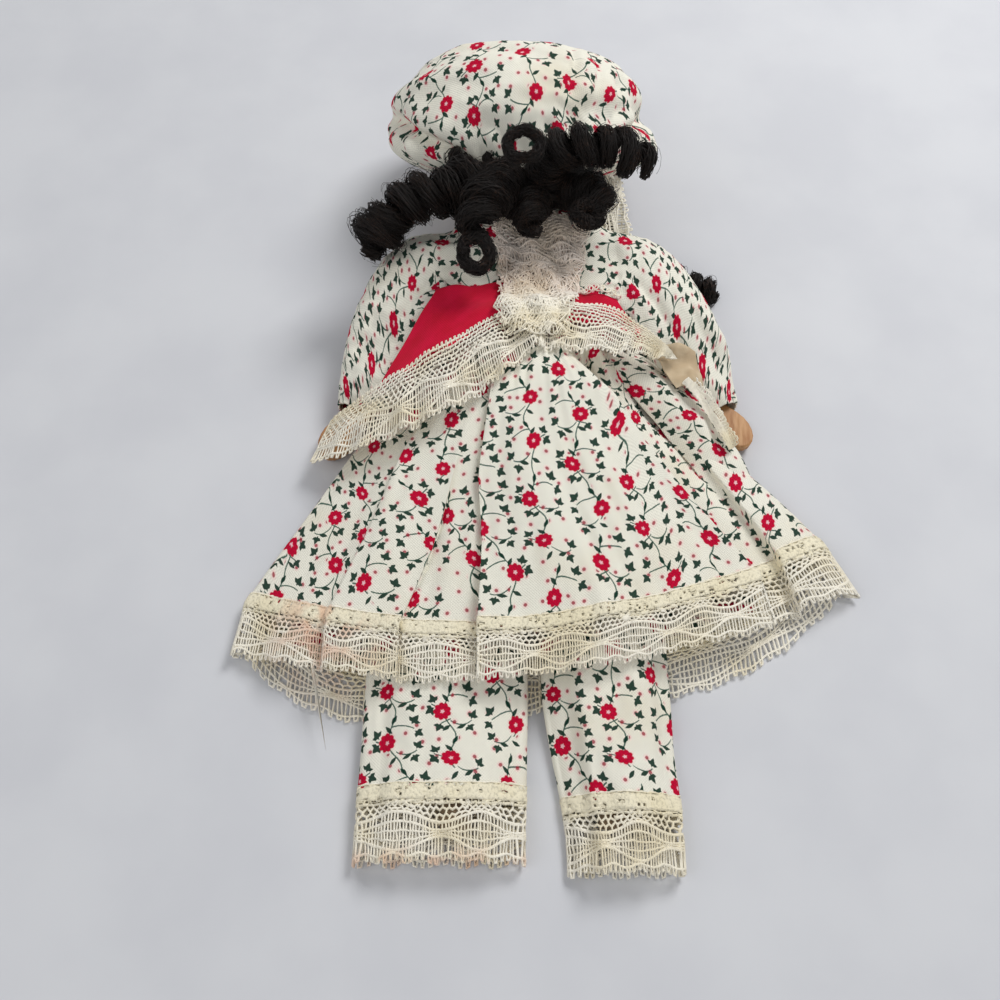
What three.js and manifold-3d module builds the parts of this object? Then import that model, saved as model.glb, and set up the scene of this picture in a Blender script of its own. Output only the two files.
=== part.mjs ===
import * as THREE from 'three';
import { mergeVertices } from 'three/addons/utils/BufferGeometryUtils.js';
import Module from 'manifold-3d';

// A wooden doll in printed cotton, lying on its face with its back up. Sizes are in millimetres.
// X runs to the doll's right, Y to the top of its head, Z up from what it lies on.

const wasm = await Module();
wasm.setup();

// Fits
const clearance = 0.35;
const clothWall = 0.9;
const laceWall = 0.8;

// Lie of the body: the hips are low and the head rests on its brow
const bodyTilt = 7.5;
const hipY = 2;
const hipZ = 9.5;

// Wood
const torsoTop = 90;
const torsoThick = 12;
const torsoHalfWidth = 16;
const torsoFoot = 5.5;
const headRadius = 20;
const neckRadius = 4;
const neckInTorso = 12;
const neckInHead = 14;
const neckShow = 3.8;
const armThick = 3.6;
const armHalfWidth = 4.5;
const shoulderRadius = 5.5;
const armLength = 79;
const palmHalfWidth = 5.3;
const palmHalfLength = 7.8;
const armAngleLeft = 35.8;
const armAngleRight = 39.5;
const pinAcross = 13;
const pinBelowTop = 9;
const pinRadius = 1.4;
const pinHeadRadius = 3.2;
const pinHeadHeight = 1.5;
const pinInTorso = 4.5;
const legWidth = 8;
const legDepth = 6;
const legHipRadius = 5.6;
const legLength = 100;
const legDrop = 2.8;
const hipDowelRadius = 2.3;

// Hair
const wigWall = 2.6;
const wigReach = 51;
const curlSteps = 8;
const curlSides = 5;
const leastCurlGap = 0.4;

// Cap: an oval puff on a round rim
const capHalfWidth = 43.5;
const capHalfLength = 36;
const capHeight = 29;
const capFullness = 0.85;
const capAside = -2.5;
const capLobe = { reach: 4.2, above: 4, spread: 6.5 };
const capNotch = { reach: 2.6, above: 17, spread: 3.6 };
const capShift = 9.5;
const capLift = 10.5;
const rimDrop = 4;
const capLean = 45;

// Bodice and sleeves
const bodiceAboveTorso = 2.2;
const waistY = 44;
const chestHalfWidth = 25.2;
const waistHalfWidth = 22;
const neckHoleHalfWidth = 9.5;
const bodiceEase = 1.2;
const armholeHalfHeight = 5.5;
const armholeHalfLength = 18.8;
const collarReach = 21;
const collarReachBack = 10.5;
const collarRise = 1.6;

// Skirt: waist to hem
const skirtLap = 2.2;
const skirtPuff = 6;
const hemBackY = -46;
const hemFrontY = -52;
const hemLeft = [-80, -35];
const hemRight = [84, -17];
const hemMiddleZ = 17;
const hemEdgeZ = 5;
const hemLaceWidth = 15.5;
const skirtFoldDepth = 1.5;

// Pantaloons
const crotchY = -9;
const cuffAboveFoot = 10;
const cuffLaceWidth = 19;
const leftLegCloth = [-46, -1.3];
const rightLegCloth = [1.3, 38.4];
const legClothTopZ = 15;
const legClothCuffZ = 10;
const pantaloonLift = 1.3;
const seatEase = 2.2;
const seatSpread = 6;

// Shawl and its lace
const shawlZ = 32.7;
const shawlFall = 0.0062;
const shawlWall = 0.8;
const shawlAboveWaist = 16.5;
const shawlTipLeft = [-44.5, 30.5];
const shawlTipRight = [49, 33];
const jabotBelowNeck = 6.4;

const degrees = Math.PI / 180;
const slope = Math.tan(bodyTilt * degrees);
const bodyZ = (y) => hipZ + (y - hipY) * slope;
const alongBody = (up) => hipY + up * Math.cos(bodyTilt * degrees);
const pinUp = torsoTop - pinBelowTop;
const bodiceTopY = alongBody(torsoTop) + bodiceAboveTorso;
const shoulderY = alongBody(pinUp);
const cuffY = hipY - legLength + cuffAboveFoot;
const shawlTopY = waistY + shawlAboveWaist;
const mix = (a, b, t) => a + (b - a) * t;
const clamp01 = (t) => Math.min(1, Math.max(0, t));
const smooth = (t) => clamp01(t) ** 2 * (3 - 2 * clamp01(t));
const hump = (x, width) => Math.exp(-((x / width) ** 2));

// The value at t on a list of [t, value] stops
function ramp(stops, t) {
  for (let i = 1; i < stops.length; i++) {
    const [t0, a] = stops[i - 1];
    const [t1, b] = stops[i];
    if (t <= t1 || i === stops.length - 1) return mix(a, b, clamp01((t - t0) / (t1 - t0)));
  }
  return stops[0][1];
}

const paint = {
  wood: { color: 0xc79a63, roughness: 0.6 },
  brass: { color: 0xb08d4a, roughness: 0.35, metalness: 0.9 },
  hair: { color: 0x1a110b, roughness: 0.55 },
  calico: { color: 0xe9e6da, roughness: 0.9 },
  lace: { color: 0xe8e0c6, roughness: 0.9 },
  shawl: { color: 0xc01034, roughness: 0.85 },
};

const doll = new THREE.Group();
const body = new THREE.Group();
body.position.set(0, hipY, hipZ);
body.rotation.x = bodyTilt * degrees;
doll.add(body);

function addPiece(name, look, geometry, parent = doll) {
  const mesh = new THREE.Mesh(geometry, new THREE.MeshStandardMaterial(paint[look]));
  mesh.name = name;
  parent.add(mesh);
  return mesh;
}

// Booleans
function toSolid(geometry) {
  const bare = geometry.clone();
  bare.deleteAttribute('normal');
  bare.deleteAttribute('uv');
  const merged = mergeVertices(bare, 1e-4);
  return new wasm.Manifold(new wasm.Mesh({
    numProp: 3,
    vertProperties: new Float32Array(merged.attributes.position.array),
    triVerts: new Uint32Array(merged.index.array),
  }));
}

function toGeometry(solid) {
  const mesh = solid.getMesh();
  const geometry = new THREE.BufferGeometry();
  const points = new Float32Array(mesh.numVert * 3);
  for (let i = 0; i < mesh.numVert; i++) {
    for (let k = 0; k < 3; k++) points[3 * i + k] = mesh.vertProperties[i * mesh.numProp + k];
  }
  geometry.setAttribute('position', new THREE.BufferAttribute(points, 3));
  geometry.setIndex([...mesh.triVerts]);
  return geometry;
}

function cut(geometry, ...tools) {
  let solid = toSolid(geometry);
  for (const tool of tools) solid = solid.subtract(toSolid(tool));
  return toGeometry(solid);
}

function rod(radius, length, sides = 24) {
  return new THREE.CylinderGeometry(radius, radius, length, sides);
}

// Cloth: a grid of points becomes a wall of even thickness. Rows that wrap make a tube.
function gridNormals(grid, wrap) {
  const rows = grid.length;
  const columns = grid[0].length;
  const pick = (i, j) => {
    const row = Math.min(rows - 1, Math.max(0, i));
    const column = wrap ? (j + columns) % columns : Math.min(columns - 1, Math.max(0, j));
    return grid[row][column];
  };
  return grid.map((row, i) => row.map((_, j) => {
    const along = pick(i + 1, j).clone().sub(pick(i - 1, j));
    const across = pick(i, j + 1).clone().sub(pick(i, j - 1));
    return along.cross(across).normalize();
  }));
}

// 1 where a tube's normals point away from its middle, else -1
function facing(grid, normals) {
  let sum = 0;
  grid.forEach((row, i) => {
    const centre = middleOf(row);
    row.forEach((p, j) => { sum += normals[i][j].dot(p.clone().sub(centre)); });
  });
  return sum > 0 ? 1 : -1;
}

function middleOf(row) {
  return row.reduce((sum, p) => sum.add(p), new THREE.Vector3()).divideScalar(row.length);
}

function clothWallOf(grid, wall, wrap, upward = 1) {
  const normals = gridNormals(grid, wrap);
  const inward = wrap ? facing(grid, normals) : upward;
  const back = grid.map((row, i) => row.map((p, j) => (
    p.clone().addScaledVector(normals[i][j], -wall * inward))));
  const rows = grid.length;
  const columns = grid[0].length;
  const spans = wrap ? columns : columns - 1;
  const points = [...grid.flat(), ...back.flat()];
  const at = (side, i, j) => side * rows * columns + i * columns + (j % columns);
  const faces = [];
  const quad = (a, b, c, d) => faces.push(a, b, c, a, c, d);
  for (let i = 0; i < rows - 1; i++) {
    for (let j = 0; j < spans; j++) {
      quad(at(0, i, j), at(0, i + 1, j), at(0, i + 1, j + 1), at(0, i, j + 1));
      quad(at(1, i, j), at(1, i, j + 1), at(1, i + 1, j + 1), at(1, i + 1, j));
    }
  }
  for (let j = 0; j < spans; j++) {
    quad(at(0, 0, j), at(0, 0, j + 1), at(1, 0, j + 1), at(1, 0, j));
    quad(at(0, rows - 1, j), at(1, rows - 1, j), at(1, rows - 1, j + 1), at(0, rows - 1, j + 1));
  }
  if (!wrap) {
    for (let i = 0; i < rows - 1; i++) {
      quad(at(0, i, 0), at(1, i, 0), at(1, i + 1, 0), at(0, i + 1, 0));
      const last = columns - 1;
      quad(at(0, i, last), at(0, i + 1, last), at(1, i + 1, last), at(1, i, last));
    }
  }
  return facingOut(points, faces);
}

function facingOut(points, faces) {
  let volume = 0;
  for (let f = 0; f < faces.length; f += 3) {
    const [a, b, c] = [points[faces[f]], points[faces[f + 1]], points[faces[f + 2]]];
    volume += a.dot(b.clone().cross(c));
  }
  if (volume < 0) {
    for (let f = 0; f < faces.length; f += 3) {
      [faces[f + 1], faces[f + 2]] = [faces[f + 2], faces[f + 1]];
    }
  }
  const geometry = new THREE.BufferGeometry().setFromPoints(points);
  geometry.setIndex(faces);
  return geometry;
}

// One row of a garment that lies flat: a back edge to edge, a round side, a front, a round side.
// back(s) and front(s) give [x, y, z] for s from -1 at the left to 1 at the right.
const fineSpans = { back: 24, front: 10, side: 4 };
const plainSpans = { back: 8, front: 6, side: 4 };

function layRow(back, front, spans = fineSpans) {
  const row = [];
  for (let i = 0; i <= spans.back; i++) row.push(new THREE.Vector3(...back(-1 + 2 * i / spans.back)));
  turn(row, back(1), front(1), 1, spans.side);
  for (let i = 0; i <= spans.front; i++) row.push(new THREE.Vector3(...front(1 - 2 * i / spans.front)));
  turn(row, front(-1), back(-1), -1, spans.side);
  return row;
}

function turn(row, from, to, side, steps) {
  const radius = Math.abs(from[2] - to[2]) / 2;
  for (let k = 1; k < steps; k++) {
    const t = k / steps;
    const angle = Math.PI * t;
    const z = (from[2] + to[2]) / 2 + (from[2] - to[2]) / 2 * Math.cos(angle);
    row.push(new THREE.Vector3(
      mix(from[0], to[0], t) + side * radius * Math.sin(angle), mix(from[1], to[1], t), z));
  }
}

// A row whose section is a rounded oblong from x0 to x1
function oblongRow(y, x0, x1, top, bottom) {
  const centre = (x0 + x1) / 2;
  const half = (x1 - x0) / 2;
  const flat = half - 0.3 * (top - bottom);
  const middle = (top + bottom) / 2;
  const row = layRow((s) => [centre + s * flat, y, top], (s) => [centre + s * flat, y, bottom], plainSpans);
  for (const p of row) {
    const share = clamp01(Math.abs(p.z - middle) / ((top - bottom) / 2));
    const over = Math.abs(p.x - centre) - flat;
    if (over > 1e-6) {
      p.x = centre + Math.sign(p.x - centre) * (flat + (half - flat) * (1 - share ** 2.5) ** 0.4);
    }
  }
  return row;
}

// Wood
function addTorso() {
  const outline = new THREE.Shape();
  const w = torsoHalfWidth;
  const corner = 9;
  outline.moveTo(-w + corner, torsoTop);
  outline.absarc(-w + corner, torsoTop - corner, corner, Math.PI / 2, Math.PI);
  outline.lineTo(-w, -torsoFoot);
  outline.lineTo(w, -torsoFoot);
  outline.absarc(w - corner, torsoTop - corner, corner, 0, Math.PI / 2);
  const board = new THREE.ExtrudeGeometry(outline, {
    depth: torsoThick, bevelEnabled: false, curveSegments: 5,
  });
  board.translate(0, 0, -torsoThick / 2);
  const hipBore = rod(hipDowelRadius + clearance, 2 * w + 2).rotateZ(Math.PI / 2);
  const neckBore = rod(neckRadius + clearance, 2 * neckInTorso).translate(0, torsoTop, 0);
  const pinBores = [-1, 1].map((side) => rod(pinRadius + clearance, 2 * pinInTorso + 2 * clearance, 16)
    .rotateX(Math.PI / 2).translate(side * pinAcross, pinUp, -torsoThick / 2));
  addPiece('torso', 'wood', cut(board, hipBore, neckBore, ...pinBores), body);
}

const neckBoreRadius = neckRadius + clearance;
const headUp = torsoTop + neckShow + Math.sqrt(headRadius ** 2 - neckBoreRadius ** 2);
const headCentre = new THREE.Vector3(0, headUp, 0)
  .applyAxisAngle(new THREE.Vector3(1, 0, 0), bodyTilt * degrees)
  .add(body.position);

function addHead() {
  const foot = headUp - headRadius;
  const neckLength = neckInTorso - clearance + neckShow + neckInHead;
  const neckFoot = torsoTop - neckInTorso + clearance;
  const neck = rod(neckRadius, neckLength).translate(0, neckFoot + neckLength / 2, 0);
  addPiece('neck_dowel', 'wood', neck, body);
  const ball = new THREE.SphereGeometry(headRadius, 28, 18).translate(0, headUp, 0);
  const boreTop = torsoTop + neckShow + neckInHead + clearance;
  const bore = rod(neckBoreRadius, boreTop - foot + 4).translate(0, (boreTop + foot - 4) / 2, 0);
  addPiece('head', 'wood', cut(ball, bore), body);
}

const armZ = -(torsoThick / 2 + clearance + armThick / 2);

function addArm(side, angle) {
  const word = side < 0 ? 'left' : 'right';
  const outline = new THREE.Shape();
  const wrist = armLength - palmHalfLength;
  const wristHalf = armHalfWidth - 0.7;
  outline.absarc(0, 0, shoulderRadius, -0.9, Math.PI + 0.9);
  outline.lineTo(-wristHalf, -wrist);
  for (let k = 1; k < 14; k++) {
    const a = Math.PI * (0.8 + 1.4 * k / 14);
    outline.lineTo(palmHalfWidth * Math.cos(a), -armLength + palmHalfLength * Math.sin(a));
  }
  outline.lineTo(wristHalf, -wrist);
  outline.closePath();
  const bore = new THREE.Path();
  bore.absarc(0, 0, pinRadius + clearance, 0, 2 * Math.PI, true);
  outline.holes.push(bore);
  const bevel = 0.5;
  const slat = new THREE.ExtrudeGeometry(outline, {
    depth: armThick - 2 * bevel, bevelThickness: bevel, bevelSize: bevel, bevelOffset: -bevel,
    bevelSegments: 1, curveSegments: 8,
  });
  slat.translate(0, 0, -armThick / 2 + bevel);
  const arm = addPiece(`arm_${word}`, 'wood', slat, body);
  arm.position.set(side * pinAcross, pinUp, armZ);
  arm.rotation.z = side * angle * degrees;

  const headTop = armZ - armThick / 2 - clearance;
  const shankTop = -torsoThick / 2 + pinInTorso;
  const profile = [
    [0, shankTop], [pinRadius, shankTop], [pinRadius, headTop], [pinHeadRadius, headTop],
    [pinHeadRadius * 0.85, headTop - pinHeadHeight * 0.6],
    [pinHeadRadius * 0.45, headTop - pinHeadHeight * 0.93], [0, headTop - pinHeadHeight],
  ].map(([r, z]) => new THREE.Vector2(r, z));
  const pin = new THREE.LatheGeometry(profile.reverse(), 16).rotateX(Math.PI / 2);
  addPiece(`shoulder_pin_${word}`, 'brass', pin.translate(side * pinAcross, pinUp, 0), body);
}

const legInner = torsoHalfWidth + clearance;

function addLegs() {
  const legs = new THREE.Group();
  legs.position.set(0, hipY, hipZ);
  legs.rotation.x = legDrop * degrees;
  doll.add(legs);
  const dowelLength = 2 * (legInner + legWidth);
  addPiece('hip_dowel', 'wood', rod(hipDowelRadius, dowelLength).rotateZ(Math.PI / 2), legs);
  for (const side of [-1, 1]) {
    const outline = new THREE.Shape();
    const half = legDepth / 2;
    outline.absarc(0, 0, legHipRadius, -Math.PI / 2 - 0.9, Math.PI / 2 + 0.9);
    outline.lineTo(-legLength + half, half);
    outline.absarc(-legLength + half, 0, half, Math.PI / 2, 3 * Math.PI / 2);
    outline.closePath();
    const bore = new THREE.Path();
    bore.absarc(0, 0, hipDowelRadius + clearance, 0, 2 * Math.PI, true);
    outline.holes.push(bore);
    const slat = new THREE.ExtrudeGeometry(outline, {
      depth: legWidth, bevelEnabled: false, curveSegments: 8,
    });
    slat.rotateX(Math.PI / 2).rotateZ(Math.PI / 2);
    slat.translate(side < 0 ? -legInner - legWidth : legInner, 0, 0);
    addPiece(side < 0 ? 'leg_left' : 'leg_right', 'wood', slat, legs);
  }
}

// Bodice: rows from the neck to the waist, each round the torso and the arms in front of it
const backCover = torsoThick / 2 / Math.cos(bodyTilt * degrees) + clearance + clothWall + bodiceEase;
const frontCover = backCover + armThick + pinHeadHeight + 3 * clearance;

function bodiceSection(y, grow = 0) {
  const t = (bodiceTopY - y) / (bodiceTopY - waistY);
  const half = ramp([[0, neckHoleHalfWidth], [0.03, 17], [0.06, 21], [0.12, chestHalfWidth - 0.7],
    [0.2, chestHalfWidth], [0.5, chestHalfWidth], [1, waistHalfWidth]], t) + grow;
  const pinch = 1 - smooth(t / 0.06);
  const top = bodyZ(y) + backCover - 3 * pinch + grow;
  const bottom = bodyZ(y) - mix(frontCover, backCover + 1.5, smooth((t - 0.5) / 0.5)) + 8 * pinch - grow;
  return { half, top, bottom, flat: half - 0.3 * (top - bottom) };
}

function bodiceRow(y) {
  const { half, top, bottom } = bodiceSection(y);
  return oblongRow(y, -half, half, top, bottom);
}

const armholeY = pinUp - 7.5;

function addBodice() {
  const rows = [];
  for (const t of [0, 0.03, 0.06, 0.12, 0.2, 0.32, 0.5, 0.7, 0.85, 1]) {
    rows.push(bodiceRow(mix(bodiceTopY, waistY, t)));
  }
  const shell = clothWallOf(rows, clothWall, true);
  const holes = [-1, 1].map((side) => rod(1, 20, 20).scale(armholeHalfLength, 1, armholeHalfHeight)
    .rotateZ(Math.PI / 2).rotateX(bodyTilt * degrees)
    .translate(side * chestHalfWidth, armholeY, bodyZ(armholeY) + armZ));
  addPiece('bodice', 'calico', cut(shell, ...holes));
}

// A sleeve: rows across the arm from the armhole to the wrist, placed from the shoulder's pin
const sleeveStops = [
  { at: [0, -11], half: 18, low: 4.4, high: 27 },
  { at: [7, -12.4], half: 16.8, low: 3.6, high: 27.5 },
  { at: [16, -22], half: 15.5, low: 1.8, high: 25 },
  { at: [22.9, -33.7], half: 13.6, low: 0.5, high: 20 },
  { at: [28.8, -46.2], half: 10.7, low: 0.4, high: 15 },
  { at: [33.2, -54.9], half: 7.6, low: 0.4, high: 9.8 },
];
const sleeveSpread = { left: 0.82, right: 1 };

function addSleeve(side) {
  const word = side < 0 ? 'left' : 'right';
  const start = chestHalfWidth + 2 * clearance;
  const path = new THREE.CatmullRomCurve3(sleeveStops.map(({ at }) => new THREE.Vector3(
    side * (start + at[0] * sleeveSpread[word]), shoulderY + at[1], 0)));
  const steps = 12;
  const around = 18;
  const rows = [];
  for (let i = 0; i <= steps; i++) {
    const v = i / steps;
    const centre = path.getPoint(v);
    const ahead = path.getTangent(v);
    const out = new THREE.Vector3(-ahead.y, ahead.x, 0).multiplyScalar(side);
    if (i === 0) out.set(0, 1, 0);
    const value = (key) => ramp(sleeveStops.map((stop, k) => [k / (sleeveStops.length - 1), stop[key]]), v);
    const gather = 1 + 0.03 * (i % 2);
    const row = [];
    for (let k = 0; k < around; k++) {
      const angle = 2 * Math.PI * k / around;
      const puff = gather * (1 - 0.035 * Math.cos(5 * angle) * smooth(4 * v * (1 - v)));
      const fuller = (w) => Math.sign(w) * Math.abs(w) ** 0.75;
      const across = fuller(Math.cos(angle)) * value('half') * puff;
      const z = mix(value('low'), value('high'), 0.5 + 0.5 * fuller(Math.sin(angle)));
      const p = centre.clone().addScaledVector(out, across);
      p.z = Math.max(z, 0.3);
      if (i > 0) p.x = side * Math.max(side * p.x, start);
      row.push(p);
    }
    rows.push(row);
  }
  addPiece(`sleeve_${word}`, 'calico', clothWallOf(rows, clothWall, true));
}

// Skirt: it lies flat in front, and its back falls from the waist to the hem in folds
const waistSection = bodiceSection(waistY + skirtLap, clearance + clothWall + 0.5);
const skirtTopY = waistY + skirtLap;
const leftBow = [-44, 30];
const rightBow = [46, 31];
const bezier = (a, b, c, t) => (1 - t) ** 2 * a + 2 * t * (1 - t) * b + t * t * c;
const foldLines = [
  [-0.72, 0.8], [-0.45, 1], [-0.14, 1.2], [0.12, 0.7], [0.38, 1.4], [0.66, 1.2], [0.86, 0.8]];

function foldAt(s, v) {
  let z = 0;
  for (const [line, depth] of foldLines) z -= depth * Math.exp(-(((s - line) / 0.07) ** 2));
  return z * skirtFoldDepth * smooth(v / 0.25);
}

function skirtRow(v, drop = 0, grow = 0) {
  const left = [bezier(-waistSection.flat, leftBow[0], hemLeft[0], v),
    bezier(skirtTopY, leftBow[1], hemLeft[1], v)];
  const right = [bezier(waistSection.flat, rightBow[0], hemRight[0], v),
    bezier(skirtTopY, rightBow[1], hemRight[1], v)];
  const edgeMean = (left[1] + right[1]) / 2;
  const backMiddle = mix(skirtTopY, hemBackY, v);
  const frontMiddle = mix(skirtTopY, hemFrontY, v);
  const crown = ramp([[0, waistSection.top], [0.04, waistSection.top + 1],
    [0.1, waistSection.top + skirtPuff], [0.25, waistSection.top + skirtPuff * 0.9],
    [1, hemMiddleZ]], v) + grow;
  const edge = ramp([[0, waistSection.top], [0.04, waistSection.top], [0.14, 13],
    [0.3, 10], [0.5, 8], [1, hemEdgeZ]], v) + grow;
  const round = ramp([[0, 6], [0.14, 5], [0.4, 2.4]], v);
  const low = ramp([[0, waistSection.bottom], [0.04, waistSection.bottom], [0.14, 0], [1, 0]], v);
  const back = (s) => [
    mix(left[0], right[0], (s + 1) / 2),
    mix(left[1], right[1], (s + 1) / 2) - (edgeMean - backMiddle) * (1 - s * s) - drop,
    edge + (crown - edge) * (1 - Math.abs(s) ** round) + foldAt(s, v) * (1 - s ** 8),
  ];
  const front = (s) => [
    mix(left[0], right[0], (s + 1) / 2),
    mix(left[1], right[1], (s + 1) / 2) - (edgeMean - frontMiddle) * (1 - s ** 4) - drop,
    low,
  ];
  return layRow(back, front);
}

function addSkirt() {
  const rows = [0, 0.04, 0.09, 0.14, 0.22, 0.35, 0.5, 0.67, 0.84, 1].map((v) => skirtRow(v));
  addPiece('skirt', 'calico', clothWallOf(rows, clothWall, true));

  const hem = skirtRow(1);
  const lace = [];
  const leftEnd = [hemLeft[0] - 2.3, hemLeft[1] - 1.1 * hemLaceWidth];
  const rightEnd = [hemRight[0] + 8.5, hemRight[1] - hemLaceWidth];
  for (const t of [0, 0.35, 0.7, 1]) {
    const seam = t === 0 ? clearance : 0;
    const row = hem.map((p) => {
      const s = clamp01((p.x - hemLeft[0]) / (hemRight[0] - hemLeft[0]));
      const q = p.clone();
      const shiftX = mix(leftEnd[0] - hemLeft[0], rightEnd[0] - hemRight[0], s);
      const sideways = p.z < 0.01 ? 0.55 : 1;
      q.x += t * shiftX * (Math.abs(2 * s - 1) ** 3) * sideways + seam * (2 * s - 1) * 0.3;
      q.y -= t * hemLaceWidth * (1 + 0.12 * Math.abs(2 * s - 1)) + seam;
      q.z *= mix(1, 0.92, t);
      return q;
    });
    lace.push(row);
  }
  addPiece('hem_lace', 'lace', clothWallOf(lace, laceWall, true));
}

// Pantaloons
function legClothRow(y, [x0, x1], topZ, lift) {
  const round = (topZ * 0.6 - lift) / 2;
  const shoulder = topZ * 0.6;
  const back = (s) => [mix(x0 + round, x1 - round, (s + 1) / 2), y,
    shoulder + (topZ - shoulder) * (1 - Math.abs(s) ** 2.5)];
  const front = (s) => [mix(x0 + round, x1 - round, (s + 1) / 2), y, lift];
  return layRow(back, front, plainSpans);
}

function liftAt(y) {
  return pantaloonLift * (1 - smooth((hemFrontY - hemLaceWidth - 3 - y) / 6));
}

function addPantaloons() {
  const sides = { left: leftLegCloth, right: rightLegCloth };
  for (const [word, span] of Object.entries(sides)) {
    const top = (y) => mix(legClothTopZ, legClothCuffZ, smooth((crotchY - y) / (crotchY - cuffY)));
    const rows = [0, 0.2, 0.4, 0.6, 0.72, 0.8, 0.9, 1].map((t) => {
      const y = mix(crotchY, cuffY, t);
      return legClothRow(y, span, top(y), liftAt(y));
    });
    addPiece(`pantaloon_${word}`, 'calico', clothWallOf(rows, clothWall, true));
    const wide = word === 'left' ? 0 : -1.5;
    const lace = [0, 0.5, 1].map((t) => legClothRow(
      cuffY - clearance - t * cuffLaceWidth, [span[0] - 0.5 * t, span[1] + wide * t],
      legClothCuffZ - 0.6 * t, 0));
    addPiece(`cuff_lace_${word}`, 'lace', clothWallOf(lace, laceWall, true));
  }
  const seatBottomY = crotchY + 2 * clearance;
  const seatTopY = waistY - clearance - 0.4;
  const cover = torsoThick / 2 + clearance + clothWall;
  const snug = torsoHalfWidth + 2 * clearance + clothWall + seatEase;
  const rows = [0, 0.3, 0.6, 0.8, 1].map((t) => {
    const y = mix(seatTopY, seatBottomY, t);
    const half = seatSpread * t ** 4
      + mix(snug, legInner + legWidth + clearance + clothWall + 1, smooth(t / 0.6));
    const topZ = mix(bodyZ(y) + cover + seatEase * (0.2 + 0.6 * t), legClothTopZ + 1.4,
      smooth((t - 0.5) / 0.5));
    const low = mix(bodyZ(y) - cover - 0.5, pantaloonLift, smooth(t / 0.7));
    return oblongRow(y, -half, half, topZ, low);
  });
  addPiece('pantaloon_seat', 'calico', clothWallOf(rows, clothWall, true));
}

// Lace collar round the neck, under the head
function addCollar() {
  const rows = [];
  for (const t of [0, 0.5, 1]) {
    const row = [];
    for (let k = 0; k < 32; k++) {
      const a = 2 * Math.PI * k / 32;
      const ripple = 1 + 0.05 * t * Math.cos(8 * a);
      const rx = mix(neckHoleHalfWidth, collarReach, t) * ripple;
      const rz = mix(neckRadius + 3, collarReachBack, t);
      const up = torsoTop + 3 + collarRise * t;
      row.push(new THREE.Vector3(rx * Math.cos(a), up, rz * Math.sin(a)));
    }
    rows.push(row);
  }
  addPiece('collar_frill', 'lace', clothWallOf(rows, laceWall, true), body);
}

// Shawl: two red panels over the back, their lace edging, and the lace gathered down the middle
const onBodice = (y) => bodyZ(y) + backCover + clearance;

function shawlTop(x, y) {
  const high = shawlZ - shawlFall * x * x;
  const sag = smooth((y - waistY - 3) / 12) * smooth((24 - Math.abs(x)) / 8);
  return mix(high, onBodice(y) + shawlWall, sag);
}

const overShawl = laceWall + 2 * clearance;

function drapedSheet(name, look, wall, outline, height, spans) {
  const rows = [];
  for (let i = 0; i <= spans[0]; i++) {
    const row = [];
    for (let j = 0; j <= spans[1]; j++) {
      const [x, y] = outline(j / spans[1], i / spans[0]);
      row.push(new THREE.Vector3(x, y, height(x, y)));
    }
    rows.push(row);
  }
  const [first, next, below] = [rows[0][0], rows[0][1], rows[1][0]];
  const upward = below.clone().sub(first).cross(next.clone().sub(first)).z > 0 ? 1 : -1;
  addPiece(name, look, clothWallOf(rows, wall, false, upward));
}

const fourSided = ([a, b, c, d]) => (u, v) => [0, 1].map((k) => (
  mix(mix(a[k], b[k], u), mix(d[k], c[k], u), v)));
const betweenBows = (upper, lower) => (u, v) => [0, 1].map((k) => mix(
  bezier(upper[0][k], upper[1][k], upper[2][k], u),
  bezier(lower[0][k], lower[1][k], lower[2][k], u), v));

function addShawl() {
  drapedSheet('shawl_left', 'shawl', shawlWall, fourSided([[-27, shawlTopY - 4], [-1.5, shawlTopY + 1],
    [-1.5, 45], shawlTipLeft]), shawlTop, [6, 8]);
  drapedSheet('shawl_right', 'shawl', shawlWall, fourSided([[1.5, shawlTopY + 1], [24, shawlTopY - 6],
    shawlTipRight, [1.5, 46]]), shawlTop, [6, 8]);
  const onShawl = (x, y) => shawlTop(x, y) + overShawl;
  drapedSheet('shawl_lace_left', 'lace', laceWall, betweenBows(
    [[0, 51], [-26, 40], [-60, 21]], [[3, 35], [-22, 6], [-65, 13.5]]), onShawl, [4, 18]);
  drapedSheet('shawl_lace_right', 'lace', laceWall, betweenBows(
    [[4.5, 51], [26, 46], [53, 37]], [[5, 35], [26, 30], [52, 27]]), onShawl, [4, 14]);
  const jabotTopY = bodiceTopY - jabotBelowNeck;
  const onNeck = (x, y) => mix(
    shawlTop(x, y) + 2 * overShawl, onBodice(y) + laceWall, smooth((y - shawlTopY - 3) / 7));
  drapedSheet('jabot', 'lace', laceWall, fourSided([[-9, jabotTopY], [17.5, jabotTopY],
    [9, 37], [1, 37]]), onNeck, [12, 6]);
}

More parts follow.
